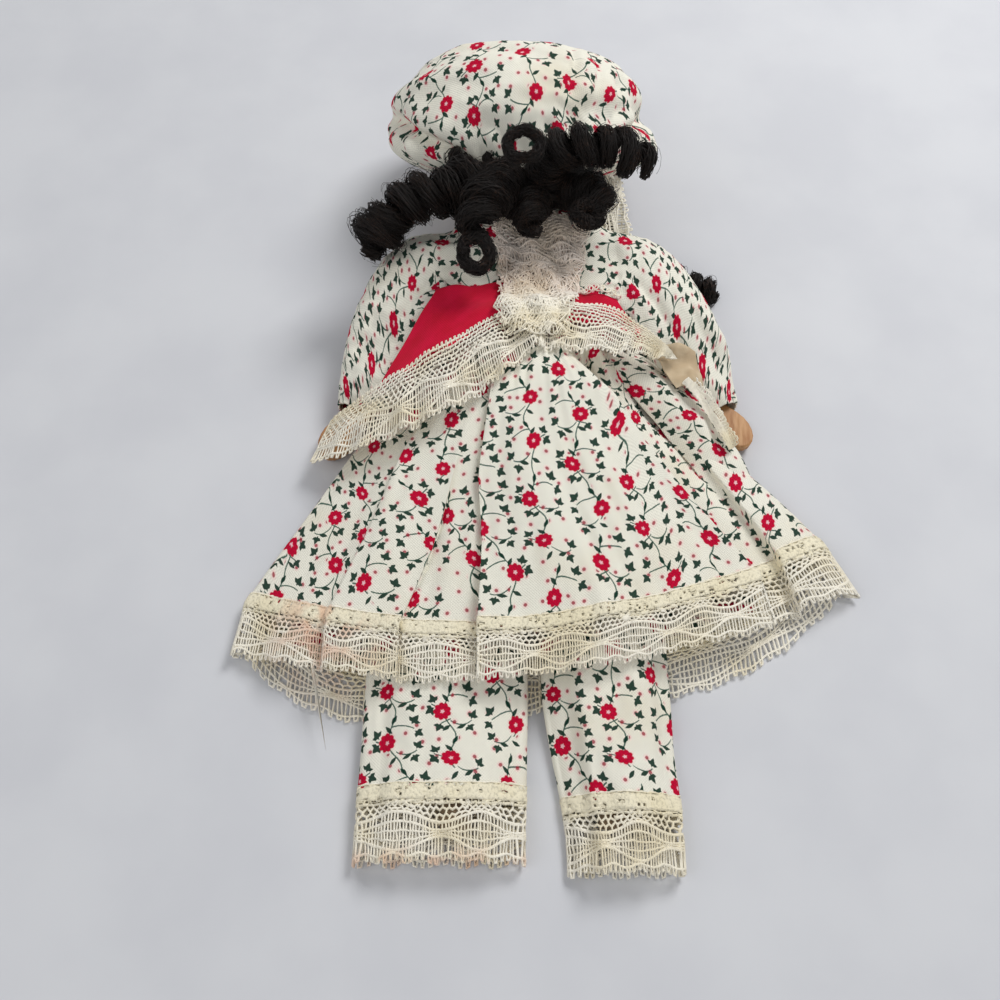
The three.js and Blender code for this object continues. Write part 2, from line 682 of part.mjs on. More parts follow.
// Ringlets: a strand wound round an axis that bends from its root to the tip. A root lies at x on the
// wig, or on the bare head in front, turned by an angle from the top of the head over its back. The
// other points are set from the middle of the head.
const curls = [
  { name: 'ringlet_left', root: [-9, 149.4], coil: 4.7, strand: 2.5, pitch: 7.2,
    at: [[-22, -28.4, 21], [-37, -25.4, 18.4], [-53, -38.4, 4.7]] },
  { name: 'ringlet_middle', root: [-5, 149], coil: 4, strand: 2.3, pitch: 6.8,
    at: [[-8, -30.8, 25.7], [-16, -38.8, 26.7], [-17, -56.4, 16.7]] },
  { name: 'ringlet_short', root: [-0.8, 149.5], coil: 2.6, strand: 1.9, pitch: 5.8,
    at: [[0, -32.4, 16.7], [1, -36.4, 19.7], [0, -44.4, 17.7]] },
  { name: 'ringlet_right', root: [8, 148.6], coil: 3.4, strand: 2, pitch: 6.2,
    at: [[16, -28.4, 16], [20, -29.4, 20], [24, -38, 18.4]] },
  { name: 'ringlet_over_cap', root: [3.6, 150], coil: 3.6, strand: 1.9, pitch: 6.4,
    at: [[6, -26.8, 37.7], [20, -23.6, 35.9], [35, -27.4, 27]] },
  { name: 'ringlet_front', root: [17.6, 222], bare: true, coil: 2.2, strand: 1.6, pitch: 5.4,
    at: [[26, -17.4, -18.8], [44, -25.4, -20.1], [64, -38.4, -20.1]] },
];

const rootShare = 0.5;
const rootGap = 0.18; // the flats of the wig's mesh add to it

function rootOf({ root: [x, angle], strand, bare, at }) {
  const under = headRadius + (bare ? 0 : clearance + wigWall) + rootGap;
  const across = Math.sqrt(under ** 2 - x ** 2);
  const up = new THREE.Vector3(x, across * Math.cos(angle * degrees), across * Math.sin(angle * degrees));
  const ahead = new THREE.Vector3(...at[0]).sub(up).normalize();
  const lean = ahead.cross(up.clone().normalize()).length();
  return up.setLength(under + lean * rootShare * strand).add(headCentre);
}

function curlPath(curl) {
  const { at, coil, pitch } = curl;
  const axis = new THREE.CubicBezierCurve3(
    rootOf(curl), ...at.map((p) => new THREE.Vector3(...p).add(headCentre)));
  const turns = axis.getLength() / pitch;
  const count = Math.round(turns * curlSteps);
  const frames = axis.computeFrenetFrames(count, false);
  const points = [];
  for (let i = 0; i <= count; i++) {
    const angle = 2 * Math.PI * i / curlSteps;
    const radius = coil * smooth(i / (2.2 * curlSteps));
    points.push(axis.getPointAt(i / count)
      .addScaledVector(frames.normals[i], radius * Math.cos(angle))
      .addScaledVector(frames.binormals[i], radius * Math.sin(angle)));
  }
  return points;
}

function leastGap(points, strand) {
  let least = Infinity;
  for (let i = 0; i < points.length; i++) {
    for (let j = i + curlSteps; j < points.length; j++) {
      least = Math.min(least, points[i].distanceTo(points[j]) - 2 * strand);
    }
  }
  return least;
}

function addCurl(curl) {
  const points = curlPath(curl);
  const gap = leastGap(points, curl.strand);
  console.log(`${curl.name}: least gap to itself ${gap.toFixed(2)} mm, wanted over ${leastCurlGap}`);
  const last = points.length - 1;
  const rings = [];
  let side = new THREE.Vector3(0, 0, 1);
  points.forEach((p, i) => {
    const ahead = points[Math.min(last, i + 1)].clone().sub(points[Math.max(0, i - 1)]).normalize();
    side = side.clone().addScaledVector(ahead, -side.dot(ahead)).normalize();
    const up = ahead.clone().cross(side);
    const taper = mix(rootShare, 1, smooth(Math.min(i / (2 * curlSteps), (last - i) / 4)));
    const ring = [];
    for (let k = 0; k < curlSides; k++) {
      const a = 2 * Math.PI * k / curlSides;
      ring.push(p.clone().addScaledVector(side, curl.strand * taper * Math.cos(a))
        .addScaledVector(up, curl.strand * taper * Math.sin(a)));
    }
    rings.push(ring);
  });
  const all = rings.flat();
  const faces = [];
  for (let i = 0; i < last; i++) {
    for (let k = 0; k < curlSides; k++) {
      const [a, b] = [i * curlSides + k, i * curlSides + (k + 1) % curlSides];
      faces.push(a, b, b + curlSides, a, b + curlSides, a + curlSides);
    }
  }
  for (let k = 1; k < curlSides - 1; k++) {
    faces.push(0, k + 1, k);
    faces.push(last * curlSides, last * curlSides + k, last * curlSides + k + 1);
  }
  addPiece(curl.name, 'hair', facingOut(all, faces));
}

function addWig() {
  const inner = headRadius + clearance;
  const outer = inner + wigWall;
  const reach = wigReach * degrees;
  const profile = [];
  const arcSteps = 5;
  for (let i = 0; i <= arcSteps; i++) {
    const a = reach * i / arcSteps;
    profile.push(new THREE.Vector2(outer * Math.sin(a), outer * Math.cos(a)));
  }
  for (let i = arcSteps; i >= 0; i--) {
    const a = reach * i / arcSteps;
    profile.push(new THREE.Vector2(inner * Math.sin(a), inner * Math.cos(a)));
  }
  const shell = new THREE.LatheGeometry(profile.reverse(), 20);
  shell.rotateX(104 * degrees).translate(...headCentre);
  addPiece('wig', 'hair', toGeometry(toSolid(shell)));
}

function addCap() {
  const n = new THREE.Vector3(0, Math.cos(capLean * degrees), Math.sin(capLean * degrees));
  const t = new THREE.Vector3(0, Math.sin(capLean * degrees), -Math.cos(capLean * degrees));
  const rimRadius = headRadius + 2 * clearance + wigWall + clothWall + 0.2;
  const rimAngle = -Math.asin((capLift + rimDrop) / capHeight);
  const steps = 10;
  const around = 32;
  const rows = [];
  for (let i = 0; i <= steps; i++) {
    const angle = mix(rimAngle, 86 * degrees, i / steps);
    const rise = clamp01((angle - rimAngle) / -rimAngle);
    const wide = 1 - (1 - rise) ** 3;
    const long = smooth(rise);
    const reach = Math.cos(angle) ** capFullness;
    const halfX = mix(rimRadius, capHalfWidth * reach, wide);
    const halfT = mix(rimRadius, capHalfLength * reach, long);
    const climb = angle > 0 ? Math.sin(angle) ** capFullness : Math.sin(angle);
    const up = capLift + capHeight * climb;
    // the cloth bulges in a lobe at the doll's right, with a notch above it
    const bulge = capLobe.reach * hump(up - capLobe.above, capLobe.spread)
      - capNotch.reach * hump(up - capNotch.above, capNotch.spread);
    const row = [];
    for (let k = 0; k < around; k++) {
      const a = 2 * Math.PI * k / around;
      const p = headCentre.clone().addScaledVector(n, up)
        .addScaledVector(t, capShift * long + halfT * Math.sin(a));
      p.x += halfX * Math.cos(a) + wide * (capAside + bulge * smooth(Math.cos(a) / 0.6));
      p.z = Math.max(p.z, 0);
      row.push(p);
    }
    rows.push(row);
  }
  addPiece('mob_cap', 'calico', closeCrown(rows));
}

// The crown closes the last row of the outer wall and of the inner wall with a middle point
function closeCrown(rows) {
  const normals = gridNormals(rows, true);
  const outward = facing(rows, normals);
  const inner = rows.map((row, i) => row.map((p, j) => (
    p.clone().addScaledVector(normals[i][j], -outward * clothWall))));
  const count = rows[0].length;
  const last = rows.length - 1;
  const points = [...rows.flat(), ...inner.flat(), middleOf(rows[last]), middleOf(inner[last])];
  const at = (side, i, j) => side * rows.length * count + i * count + (j % count);
  const poles = [points.length - 2, points.length - 1];
  const faces = [];
  for (let j = 0; j < count; j++) {
    for (let i = 0; i < last; i++) {
      faces.push(at(0, i, j), at(0, i, j + 1), at(0, i + 1, j + 1));
      faces.push(at(0, i, j), at(0, i + 1, j + 1), at(0, i + 1, j));
      faces.push(at(1, i, j), at(1, i + 1, j + 1), at(1, i, j + 1));
      faces.push(at(1, i, j), at(1, i + 1, j), at(1, i + 1, j + 1));
    }
    faces.push(at(0, last, j), at(0, last, j + 1), poles[0]);
    faces.push(at(1, last, j), poles[1], at(1, last, j + 1));
    faces.push(at(0, 0, j), at(1, 0, j), at(1, 0, j + 1));
    faces.push(at(0, 0, j), at(1, 0, j + 1), at(0, 0, j + 1));
  }
  return facingOut(points, faces);
}

addTorso();
addHead();
addArm(-1, armAngleLeft);
addArm(1, armAngleRight);
addLegs();
addWig();
addCap();
addBodice();
addSleeve(-1);
addSleeve(1);
addCollar();
addSkirt();
addPantaloons();
addShawl();
for (const curl of curls) addCurl(curl);

export default doll;
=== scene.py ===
import math
import random

import bmesh
import bpy
import numpy as np
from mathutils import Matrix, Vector


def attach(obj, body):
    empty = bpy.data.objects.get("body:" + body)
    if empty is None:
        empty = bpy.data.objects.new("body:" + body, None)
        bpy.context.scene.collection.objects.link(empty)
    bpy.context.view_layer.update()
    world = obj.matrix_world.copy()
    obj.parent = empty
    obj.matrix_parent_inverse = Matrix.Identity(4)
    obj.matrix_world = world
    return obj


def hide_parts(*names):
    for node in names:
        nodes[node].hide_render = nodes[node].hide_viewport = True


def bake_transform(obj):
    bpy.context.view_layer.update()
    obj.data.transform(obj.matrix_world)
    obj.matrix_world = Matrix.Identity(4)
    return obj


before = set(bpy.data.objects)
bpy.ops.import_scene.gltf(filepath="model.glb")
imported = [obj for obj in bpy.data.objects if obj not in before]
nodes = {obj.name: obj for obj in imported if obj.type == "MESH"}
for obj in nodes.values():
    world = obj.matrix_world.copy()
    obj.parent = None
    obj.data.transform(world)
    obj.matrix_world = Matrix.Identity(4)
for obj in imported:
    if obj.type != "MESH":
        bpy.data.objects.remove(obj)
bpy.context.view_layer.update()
mm = 0.001  # shapes are worked out in millimetres, as in the part's source

bodyTilt = math.radians(7.5)
hipY, hipZ = 2.0, 9.5
waistY, waistTop, waistLow, waistFlat = 46.2, 25.6, 3.5, 17.4
headCentre = (0.0, 114.35, 24.29)


def mix(a, b, t):
    return a + (b - a) * t


def smooth(t):
    t = np.clip(t, 0, 1)
    return t * t * (3 - 2 * t)


def bow(a, b, c, t):
    return (1 - t) ** 2 * a + 2 * t * (1 - t) * b + t * t * c


def ramp(stops, t, blur=0.0):
    at, value = [s[0] for s in stops], [s[1] for s in stops]
    if not blur:
        return np.interp(t, at, value)
    return sum(np.interp(t + k * blur / 2, at, value) for k in (-2, -1, 0, 1, 2)) / 5


def hump(x, width):
    return np.exp(-(x / width) ** 2)


def bodyZ(y):
    return hipZ + (y - hipY) * math.tan(bodyTilt)


def power(value, p):
    return np.sign(value) * np.abs(value) ** p


def between(corners, u, v):
    # a point of the flat or twisted patch between four corners, which go round it
    a, b, c, d = corners
    return tuple(mix(mix(a[k], b[k], u), mix(d[k], c[k], u), v) for k in range(len(a)))


def strip(first, second, a, t):
    # a point of the surface between two curves, each given as its start, the point that bends it and its end
    return [mix(bow(*p, a), bow(*q, a), t) for p, q in zip(zip(*first), zip(*second))]


def tube(u, half, low, high, sharpX, sharpZ):
    # across and up at a share u of the way round a rounded box
    a = 2 * math.pi * u - math.pi / 2
    return -half * power(np.cos(a), sharpX), (high + low) / 2 + (high - low) / 2 * power(np.sin(a), sharpZ)


def lengthOf(points):
    return float(np.linalg.norm(np.diff(np.array(points), axis=1), axis=0).sum())


def waves(seed, count, longest, shortest, lean=None, spread=math.pi):
    # a handful of seeded sine waves that together read as soft, uneven rumples
    draw = random.Random(seed)
    made = []
    for _ in range(count):
        length = longest * (shortest / longest) ** draw.random()
        turn = draw.uniform(0, math.pi) if lean is None else lean + draw.uniform(-spread, spread)
        made.append((2 * math.pi / length * math.cos(turn), 2 * math.pi / length * math.sin(turn),
                     draw.uniform(0, 2 * math.pi), (length / longest) ** 0.8))
    total = math.sqrt(sum(w[3] ** 2 for w in made))

    def height(x, y):
        return sum(size * np.sin(kx * x + ky * y + phase) for kx, ky, phase, size in made) / total
    return height


def link(name, data):
    obj = bpy.data.objects.new(name, data)
    bpy.context.scene.collection.objects.link(obj)
    return obj


def newObject(name, bm, finish, body=None):
    mesh = bpy.data.meshes.new(name)
    bm.to_mesh(mesh)
    bm.free()
    obj = link(name, mesh)
    mesh.materials.append(finish)
    for face in mesh.polygons:
        face.use_smooth = True
    if body:
        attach(obj, body)
    return obj


def standsFor(obj, node):
    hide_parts(node)
    return obj


def unitGrid(columns, rows):
    # a grid whose points lie from 0 to 1 both ways
    bm = bmesh.new()
    bmesh.ops.create_grid(bm, x_segments=columns, y_segments=rows, size=0.5)
    bmesh.ops.translate(bm, verts=bm.verts, vec=(0.5, 0.5, 0))
    return bm


def coords(bm):
    return np.array([v.co for v in bm.verts])


def setCoords(bm, points):
    for vert, point in zip(bm.verts, points):
        vert.co = point


def outward(bm, up=False):
    # turns all faces over if most of them look inwards, or down
    bm.normal_update()
    middle = sum((v.co for v in bm.verts), Vector()) / len(bm.verts)

    def outwards(f):
        return f.normal.z if up else f.normal.dot(f.calc_center_median() - middle)
    if sum(f.calc_area() * outwards(f) for f in bm.faces) < 0:
        bmesh.ops.reverse_faces(bm, faces=bm.faces[:])
    bm.normal_update()


def clothGrid(columns, rows, place, closed=False, up=False, flatUV=None, anyWay=False):
    # a grid laid on the surface place(u, v), with a UV map in metres of real cloth. Cloth that hangs one way
    # is measured across by x and z and down by y and z, and cloth that turns any way by its full length.
    bm = unitGrid(columns, rows)
    uv = coords(bm)[:, :2]
    points = np.stack(place(uv[:, 0], uv[:, 1]), -1)
    order = np.lexsort((uv[:, 0].round(6), uv[:, 1].round(6)))
    table = points[order].reshape(rows + 1, columns + 1, 3)
    if flatUV is None:
        along, down = np.diff(table, axis=1), np.diff(table, axis=0)
        across = np.linalg.norm(along if anyWay else along[..., [0, 2]], axis=-1)
        fall = np.linalg.norm(down if anyWay else down[..., [1, 2]], axis=-1)
        wide = np.concatenate([np.zeros((rows + 1, 1)), np.cumsum(across, 1)], 1)
        wide -= wide[:, [columns // 2]]
        long = np.concatenate([np.zeros((1, columns + 1)), np.cumsum(fall, 0)], 0)
        long = mix(long.mean(1, keepdims=True), long, 0.85)
        flat = np.stack([wide, long], -1).reshape(-1, 2)
    else:
        flat = np.stack(flatUV(uv[order][:, 0], uv[order][:, 1]), -1)
    cloth = np.zeros((len(points), 2))
    cloth[order] = flat * mm
    setCoords(bm, points * mm)
    layer = bm.loops.layers.uv.new("cloth")
    bm.verts.index_update()
    for face in bm.faces:
        for loop in face.loops:
            loop[layer].uv = cloth[loop.vert.index]
    if closed:
        bmesh.ops.remove_doubles(bm, verts=bm.verts[:], dist=1e-6)
    outward(bm, up=up)
    return bm


def thicken(obj, wall):
    solid = obj.modifiers.new("wall", "SOLIDIFY")
    solid.thickness = wall * mm
    solid.offset = -1
    solid.use_rim = True
    return obj


def mathNode(kind, turned=False):
    return lambda value, other=0.0: value.wires.math(kind, *((other, value) if turned else (value, other)))


class Value:
    # a socket in a node tree: arithmetic on it adds Math nodes
    def __init__(self, wires, socket):
        self.wires, self.socket = wires, socket

    __add__, __radd__ = mathNode("ADD"), mathNode("ADD", True)
    __sub__, __rsub__ = mathNode("SUBTRACT"), mathNode("SUBTRACT", True)
    __mul__, __rmul__ = mathNode("MULTIPLY"), mathNode("MULTIPLY", True)
    __truediv__, __pow__, __abs__ = mathNode("DIVIDE"), mathNode("POWER"), mathNode("ABSOLUTE")
    __gt__, __lt__ = mathNode("GREATER_THAN"), mathNode("LESS_THAN")


class Wiring:
    # adds nodes to a tree
    def __init__(self, tree):
        self.tree = tree

    def node(self, kind, sockets=None, **settings):
        made = self.tree.nodes.new("ShaderNode" + kind)
        for key, value in settings.items():
            setattr(made, key, value)
        self.fill(made, sockets or {})
        return made

    def join(self, value, socket):
        value = value.socket if isinstance(value, Value) else value
        if isinstance(value, bpy.types.NodeSocket):
            self.tree.links.new(value, socket)
        else:
            socket.default_value = value

    def fill(self, made, sockets):
        for key, value in sockets.items():
            self.join(value, made.inputs[key])

    def math(self, operation, a, b=0.0, c=0.0):
        return Value(self, self.node("Math", {0: a, 1: b, 2: c}, operation=operation).outputs[0])

    def vector(self, operation, a, b=(0, 0, 0)):
        made = self.node("VectorMath", {0: a, 1: b}, operation=operation)
        return Value(self, made.outputs["Value" if operation == "DISTANCE" else "Vector"])

    def scale(self, vector, size):
        return self.node("VectorMath", {0: vector, "Scale": size}, operation="SCALE").outputs[0]

    def turn(self, vector, angle, axis="Z_AXIS"):
        return self.node("VectorRotate", {"Vector": vector, "Angle": angle}, rotation_type=axis).outputs[0]

    def split(self, vector):
        return [Value(self, socket) for socket in self.node("SeparateXYZ", {0: vector}).outputs]

    def combine(self, x, y, z=0.0):
        return self.node("CombineXYZ", {0: x, 1: y, 2: z}).outputs[0]

    def noise(self, vector, scale, detail=2.0, rough=0.5, out="Fac"):
        sockets = {"Vector": vector, "Scale": scale, "Detail": detail, "Roughness": rough}
        return Value(self, self.node("TexNoise", sockets).outputs[out])

    def lots(self, x, y):
        # three random numbers for each whole x and y
        made = self.node("TexWhiteNoise", {"Vector": self.combine(x, y)}, noise_dimensions="2D")
        return self.split(made.outputs["Color"])

    def spread(self, value, low, high, to0=0.0, to1=1.0, kind="SMOOTHSTEP"):
        made = self.node("MapRange", {0: value, 1: low, 2: high, 3: to0, 4: to1}, interpolation_type=kind)
        return Value(self, made.outputs[0])

    def blend(self, factor, a, b, kind="MIX"):
        return self.node("Mix", {0: factor, 6: a, 7: b}, data_type="RGBA", blend_type=kind).outputs[2]

    def darken(self, colour, shade):
        return self.blend(1.0, colour, self.combine(shade, shade, shade), "MULTIPLY")

    def flat(self):
        # the place on the cloth, in millimetres
        return self.scale(self.node("UVMap", uv_map="cloth").outputs[0], 1000.0)

    def space(self):
        return self.node("TexCoord").outputs["Object"]

    def coat(self, shader, colour, rough, height=None, strength=0.4, distance=0.0001, **more):
        # fills a shader's sockets, with a bump where a height is given
        self.fill(shader, {"Base Color": colour, "Roughness": rough, **more})
        if height is not None:
            bump = self.node("Bump", {"Strength": strength, "Distance": distance, "Height": height})
            self.join(bump.outputs[0], shader.inputs["Normal"])


def linear(red, green, blue):
    # a colour given as 0 to 255 on screen, as the shader wants it
    return tuple((c / 255 / 12.92 if c / 255 <= 0.04045 else ((c / 255 + 0.055) / 1.055) ** 2.4)
                 for c in (red, green, blue)) + (1.0,)


def material(name):
    made = bpy.data.materials.new(name)
    made.use_nodes = True
    return made, Wiring(made.node_tree), made.node_tree.nodes["Principled BSDF"]


print("calico")
calico = {
    "cell": (13.2, 13.0), "zoom": 1.12, "lean": 0.16, "flower": 2.14, "leaf": 1.62, "dotEvery": 4.4,
    "dot": 0.46,
    "cloth": linear(242, 239, 224), "aged": linear(232, 222, 196), "red": linear(204, 10, 54),
    "dark": linear(158, 6, 44), "green": linear(0, 50, 36), "vine": linear(16, 78, 62),
    "centre": linear(244, 196, 200), "halo": linear(250, 206, 202), "thread": 0.4,
}


def inkGroup(name, shape):
    # a node group for one printed leaf, as 1 inside its shape and 0 outside
    group = bpy.data.node_groups.new(name, "ShaderNodeTree")
    for label, kind in (("Point", "Vector"), ("At", "Vector"), ("Turn", "Float"), ("Size", "Float")):
        group.interface.new_socket(label, in_out="INPUT", socket_type="NodeSocket" + kind)
    group.interface.new_socket("Ink", in_out="OUTPUT", socket_type="NodeSocketFloat")
    w = Wiring(group)
    given = list(group.nodes.new("NodeGroupInput").outputs)
    point, at, turn, size = (Value(w, socket) for socket in given[:4])
    x, y, _ = w.split(w.turn(w.vector("SUBTRACT", point, at), turn * -1.0))
    w.join(shape(w, x, y, size), group.nodes.new("NodeGroupOutput").inputs["Ink"])
    return group


def ivyShape(w, x, y, size):
    # an ivy leaf, with a point at its tip and one at each side
    along, across = x / size, abs(y / size)

    def lobe(cx, cy, turn, half, wide):
        dx, dy = along - cx, across - cy
        u = dx * math.cos(turn) + dy * math.sin(turn)
        v = dy * math.cos(turn) - dx * math.sin(turn)
        return (1.0 - (abs(u) / half) ** 1.35) * wide - abs(v)
    inside = w.math("MAXIMUM", lobe(0.2, 0.0, 0.0, 0.86, 0.44), lobe(-0.04, 0.4, 1.2, 0.6, 0.33))
    return w.spread(inside * size, -0.08, 0.1)


def slimShape(w, x, y, size):
    # a slim pointed leaf
    return w.spread((1.0 - abs(x / 1.25) ** 1.6) * 0.5 - abs(y), -0.08, 0.08)


def stemInk(w, x, y, low, high, curve):
    # a stem y = curve(x) between two places, thin where it ends
    return w.spread(abs(y - curve), 0.26, 0.08) * ((x > low) * (x < high))


def makeCalico():
    made, w, shader = material("calico")
    s = calico
    wide, tall = s["cell"]
    flat = w.flat()
    tilted = w.turn(w.scale(flat, 1 / s["zoom"]), s["lean"])
    half = (0.5, 0.5, 0.5)
    bend = w.vector("SUBTRACT", w.noise(tilted, 0.045, 1.0, out="Color"), half)
    bent = w.vector("ADD", tilted, w.scale(bend, 5.0))
    ragged = w.vector("SUBTRACT", w.noise(flat, 2.6, 1.0, out="Color"), half)
    px, py, _ = w.split(w.vector("ADD", bent, w.scale(ragged, 0.2)))
    column = w.math("FLOOR", px / wide)
    raised = py + w.math("FLOORED_MODULO", column, 2.0) * (tall / 2)
    row = w.math("FLOOR", raised / tall)
    r1, r2, r3 = w.lots(column, row)
    r4, r5, r6 = w.lots(column + 31.0, row)
    side = (r1 > 0.5) * 2.0 - 1.0  # half of the cells are turned over
    x = (px - column * wide - wide / 2) * side
    y = raised - row * tall - tall / 2
    here = w.combine(x, y)
    groups = {"ivy": inkGroup("ivyLeaf", ivyShape), "slim": inkGroup("slimLeaf", slimShape)}

    def leaf(kind, at, turn, size=1.0, keep=1.0):
        ink = w.node("Group", node_tree=groups[kind])
        w.fill(ink, {"Point": here, "At": (*at, 0), "Turn": turn, "Size": size * s["leaf"]})
        return Value(w, ink.outputs[0]) * keep

    def anyOf(*inks):
        total = inks[0]
        for ink in inks[1:]:
            total = w.math("MAXIMUM", total, ink)
        return total

    # the vine runs down the cell and swings out behind the flower
    swing = (w.math("COSINE", y * (2 * math.pi / tall)) + 1.0) * 1.25
    lean = w.math("SINE", y * (2 * math.pi / tall)) * (1.25 * 2 * math.pi / tall)
    off = abs(x - swing) / w.math("SQRT", 1.0 + lean * lean)
    vine = w.spread(off, 0.25, 0.08) * (r6 + (y < 2.6) * 1.0 > 0.3)
    hasUp, hasOut, hasLow, hasTwig = r4 > 0.25, r5 > 0.3, r6 > 0.12, r3 > 0.35
    stems = anyOf(vine, stemInk(w, x, y, -4.2, 0.9, 3.9 - abs(x + 2.2) ** 2.0 * 0.16) * hasUp,
                  stemInk(w, x, y, 2.5, 5.4, w.math("SINE", x * 0.75) * 0.8 - 1.0) * hasOut,
                  stemInk(w, x, y, -4.0, 1.0, -3.6 + x * x * 0.07) * hasLow,
                  stemInk(w, x, y, 0.8, 3.2, 1.5 + x * 0.5) * hasTwig)
    ivies = [((-4.6, 2.1), 4.1, 0.95, hasUp), ((-3.4, 5.1), 2.0, 0.9, hasUp),
             ((5.5, -0.3), 0.6, 0.95, hasOut), ((4.9, -2.7), -1.1, 0.9, hasOut),
             ((-4.9, -1.3), 2.5, 0.92, hasLow), ((-4.1, -4.5), 4.1, 1.0, hasLow),
             ((3.5, 3.8), 1.1, 0.9, hasTwig)]
    slims = [((0.3, -5.1), 1.0), ((1.9, -3.0), -0.9), ((-1.5, 4.4), 0.3, 1.0, hasUp), ((1.9, 4.3), 0.7)]
    leaves = anyOf(*(leaf("ivy", *k) for k in ivies), *(leaf("slim", *k) for k in slims))

    # the flower, at the place where the vine swings widest
    centre = w.combine(1.9 + r2 * 0.9, (r3 - 0.5) * 1.1)
    fx, fy, _ = w.split(w.vector("SUBTRACT", here, centre))
    reach = w.math("SQRT", fx * fx + fy * fy)
    angle = w.math("ARCTAN2", fy, fx) + r1 * 6.0
    petals = abs(w.math("COSINE", angle * 4.5))
    rim = (0.83 + petals * 0.17) * s["flower"]
    flower = w.spread(rim - reach, -0.1, 0.1)
    heart = w.spread(0.42 + w.math("COSINE", angle * 5.0) * 0.1 - reach, -0.16, 0.14)
    slits = w.spread(petals, 0.45, 0.0) * w.spread(reach, 0.7, 1.3)
    glow = w.spread(rim - reach, -0.75, 0.0) * 0.5

    moved = w.vector("ADD", tilted, (3.1, 7.7, 0))
    dots = w.node("TexVoronoi", {"Vector": moved, "Scale": 1 / s["dotEvery"], "Randomness": 0.72},
                  voronoi_dimensions="2D").outputs
    present = w.split(dots["Color"])[0] < 0.93
    near = Value(w, dots["Distance"]) * s["dotEvery"]
    nearFlower = w.spread(reach, s["flower"] + 0.6, s["flower"] + 0.3)
    clear = 1.0 - anyOf(nearFlower, w.spread(off, 0.7, 0.5), leaves)
    dot = w.spread(near, s["dot"] + 0.14, s["dot"] - 0.14) * present * clear
    blush = w.spread(near, s["dot"] + 0.75, s["dot"]) * present * clear

    # plain weave: threads over and under each other
    warp, weft = (w.math("SINE", k * (math.pi / s["thread"])) for k in w.split(flat)[:2])
    slubs = [w.noise(w.vector("MULTIPLY", flat, k), 1.0, 2.0) for k in ((0.5, 3.0, 1.0), (3.0, 0.5, 1.0))]
    threads = warp * weft * 0.75 + (slubs[0] + slubs[1])

    aged = w.spread(w.noise(w.space(), 38.0, 3.0), 0.5, 0.8, 0.0, 0.6)
    mottle = w.spread(w.noise(flat, 2.2, 2.0), 0.4, 0.65, 0.0, 0.6)
    red = w.blend(w.math("MAXIMUM", slits * 0.7, mottle), s["red"], s["dark"])
    inked = w.blend(aged, s["cloth"], s["aged"])
    for ink, colour in ((w.math("MAXIMUM", glow, blush * 0.55), s["halo"]), (stems * 0.92, s["vine"]),
                        (leaves * 0.97, s["green"]), (dot * 0.85, s["dark"]),
                        (flower, w.blend(heart, red, s["centre"]))):
        inked = w.blend(ink, inked, colour)
    # the colour follows the threads' height, darker where they dip under each other and a little lighter on
    # their crowns: painted shade and light of the weave, with the slubs' own unevenness
    colour = w.darken(inked, w.spread(threads, 0.2, 1.8, 0.84, 1.06, "LINEAR"))
    w.coat(shader, colour, 0.9, threads, 0.5, 0.00014, **{"Specular IOR Level": 0.12})
    return made


calicoMaterial = makeCalico()


def makeLace():
    made, w, shader = material("lace")
    flat, space = w.flat(), w.space()
    down = w.split(flat)[1]
    x, y, _ = w.split(space)
    edge = down + w.noise(flat, 0.5, 2.0) * 5.0
    heading = w.spread(edge, 9.5, 6.0) * (down > 0.001)
    pink = w.spread(abs(x - 0.004), 0.02, 0.012) * w.spread(y, 0.046, 0.062)
    # faint pink stains on the hem's left end and along the left cuff's edge
    near = w.spread(w.vector("DISTANCE", space, (-0.056, -0.046, 0.008)), 0.024, 0.004)
    low = w.spread(y, -0.101, -0.107) * (x < 0.0)
    stain = w.math("MAXIMUM", near, low) * w.spread(w.noise(space, 160.0, 2.0), 0.42, 0.6)
    patch = w.spread(w.noise(space, 55.0, 2.0), 0.42, 0.7)
    cream = w.blend(patch, linear(253, 247, 231), linear(244, 233, 204))
    cream = w.blend(heading * 0.6, cream, linear(242, 231, 194))
    cream = w.blend(pink * 0.3, cream, linear(246, 214, 210))
    cream = w.blend(stain * 0.55, cream, linear(230, 172, 136))
    # the thread's colour is darkened where the ply twists in and where the heading's knots sink, following
    # the bump: painted shade in the lace's relief
    ply = w.noise(w.vector("MULTIPLY", flat, (5.0, 5.0, 1.0)), 1.0, 3.0)
    knots = w.noise(flat, 1.15, 2.0)
    knotShade = 1.0 + heading * w.spread(knots, 0.3, 0.55, -0.25, 0.02)
    tone = w.spread(ply, 0.25, 0.75, 0.9, 1.04, "LINEAR") * knotShade
    w.coat(shader, w.darken(cream, tone), 0.85, ply + knots * (heading * 4.0), 0.6, 0.00014,
           **{"Sheen Weight": 0.2, "Specular IOR Level": 0.25})
    return made


laceMaterial = makeLace()

laceEdging = {
    "pitch": 1.0, "thread": 0.76, "headThread": 0.84, "repeat": 26.0, "width": 19.5, "wander": 0.22,
    # each cord: the line it follows, its width, its height above the threads
    "cords": [(7, 0.75, 0.12), (8, 0.55, 0.1), (11, 0.7, 0.12), (12, 0.6, 0.06)],
}


def laceLines(a, s=laceEdging):
    # how far down each line of the lace lies at a place along it, in millimetres of a 19.5 mm edging
    phase = np.cos(2 * math.pi * a / s["repeat"] + 0.5 * np.sin(a / 11))
    c1 = 8.6 + 1.3 * phase
    c2 = c1 + 2.1 + 0.25 * np.sin(a / 5)
    c3 = 14.9 - 1.7 * phase
    c4 = 17.6 + 0.5 * np.cos(2 * math.pi * a / 8.7)
    lines = [0 * a, 1.25 + 0 * a, 2.5 + 0 * a, 3.75 + 0 * a, 5.0 + 0 * a]
    lines += [mix(lines[4], c1, 1 / 3), mix(lines[4], c1, 2 / 3), c1, c2]
    lines += [mix(c2, c3, 1 / 3), mix(c2, c3, 2 / 3), c3, c4]
    return np.array(lines)


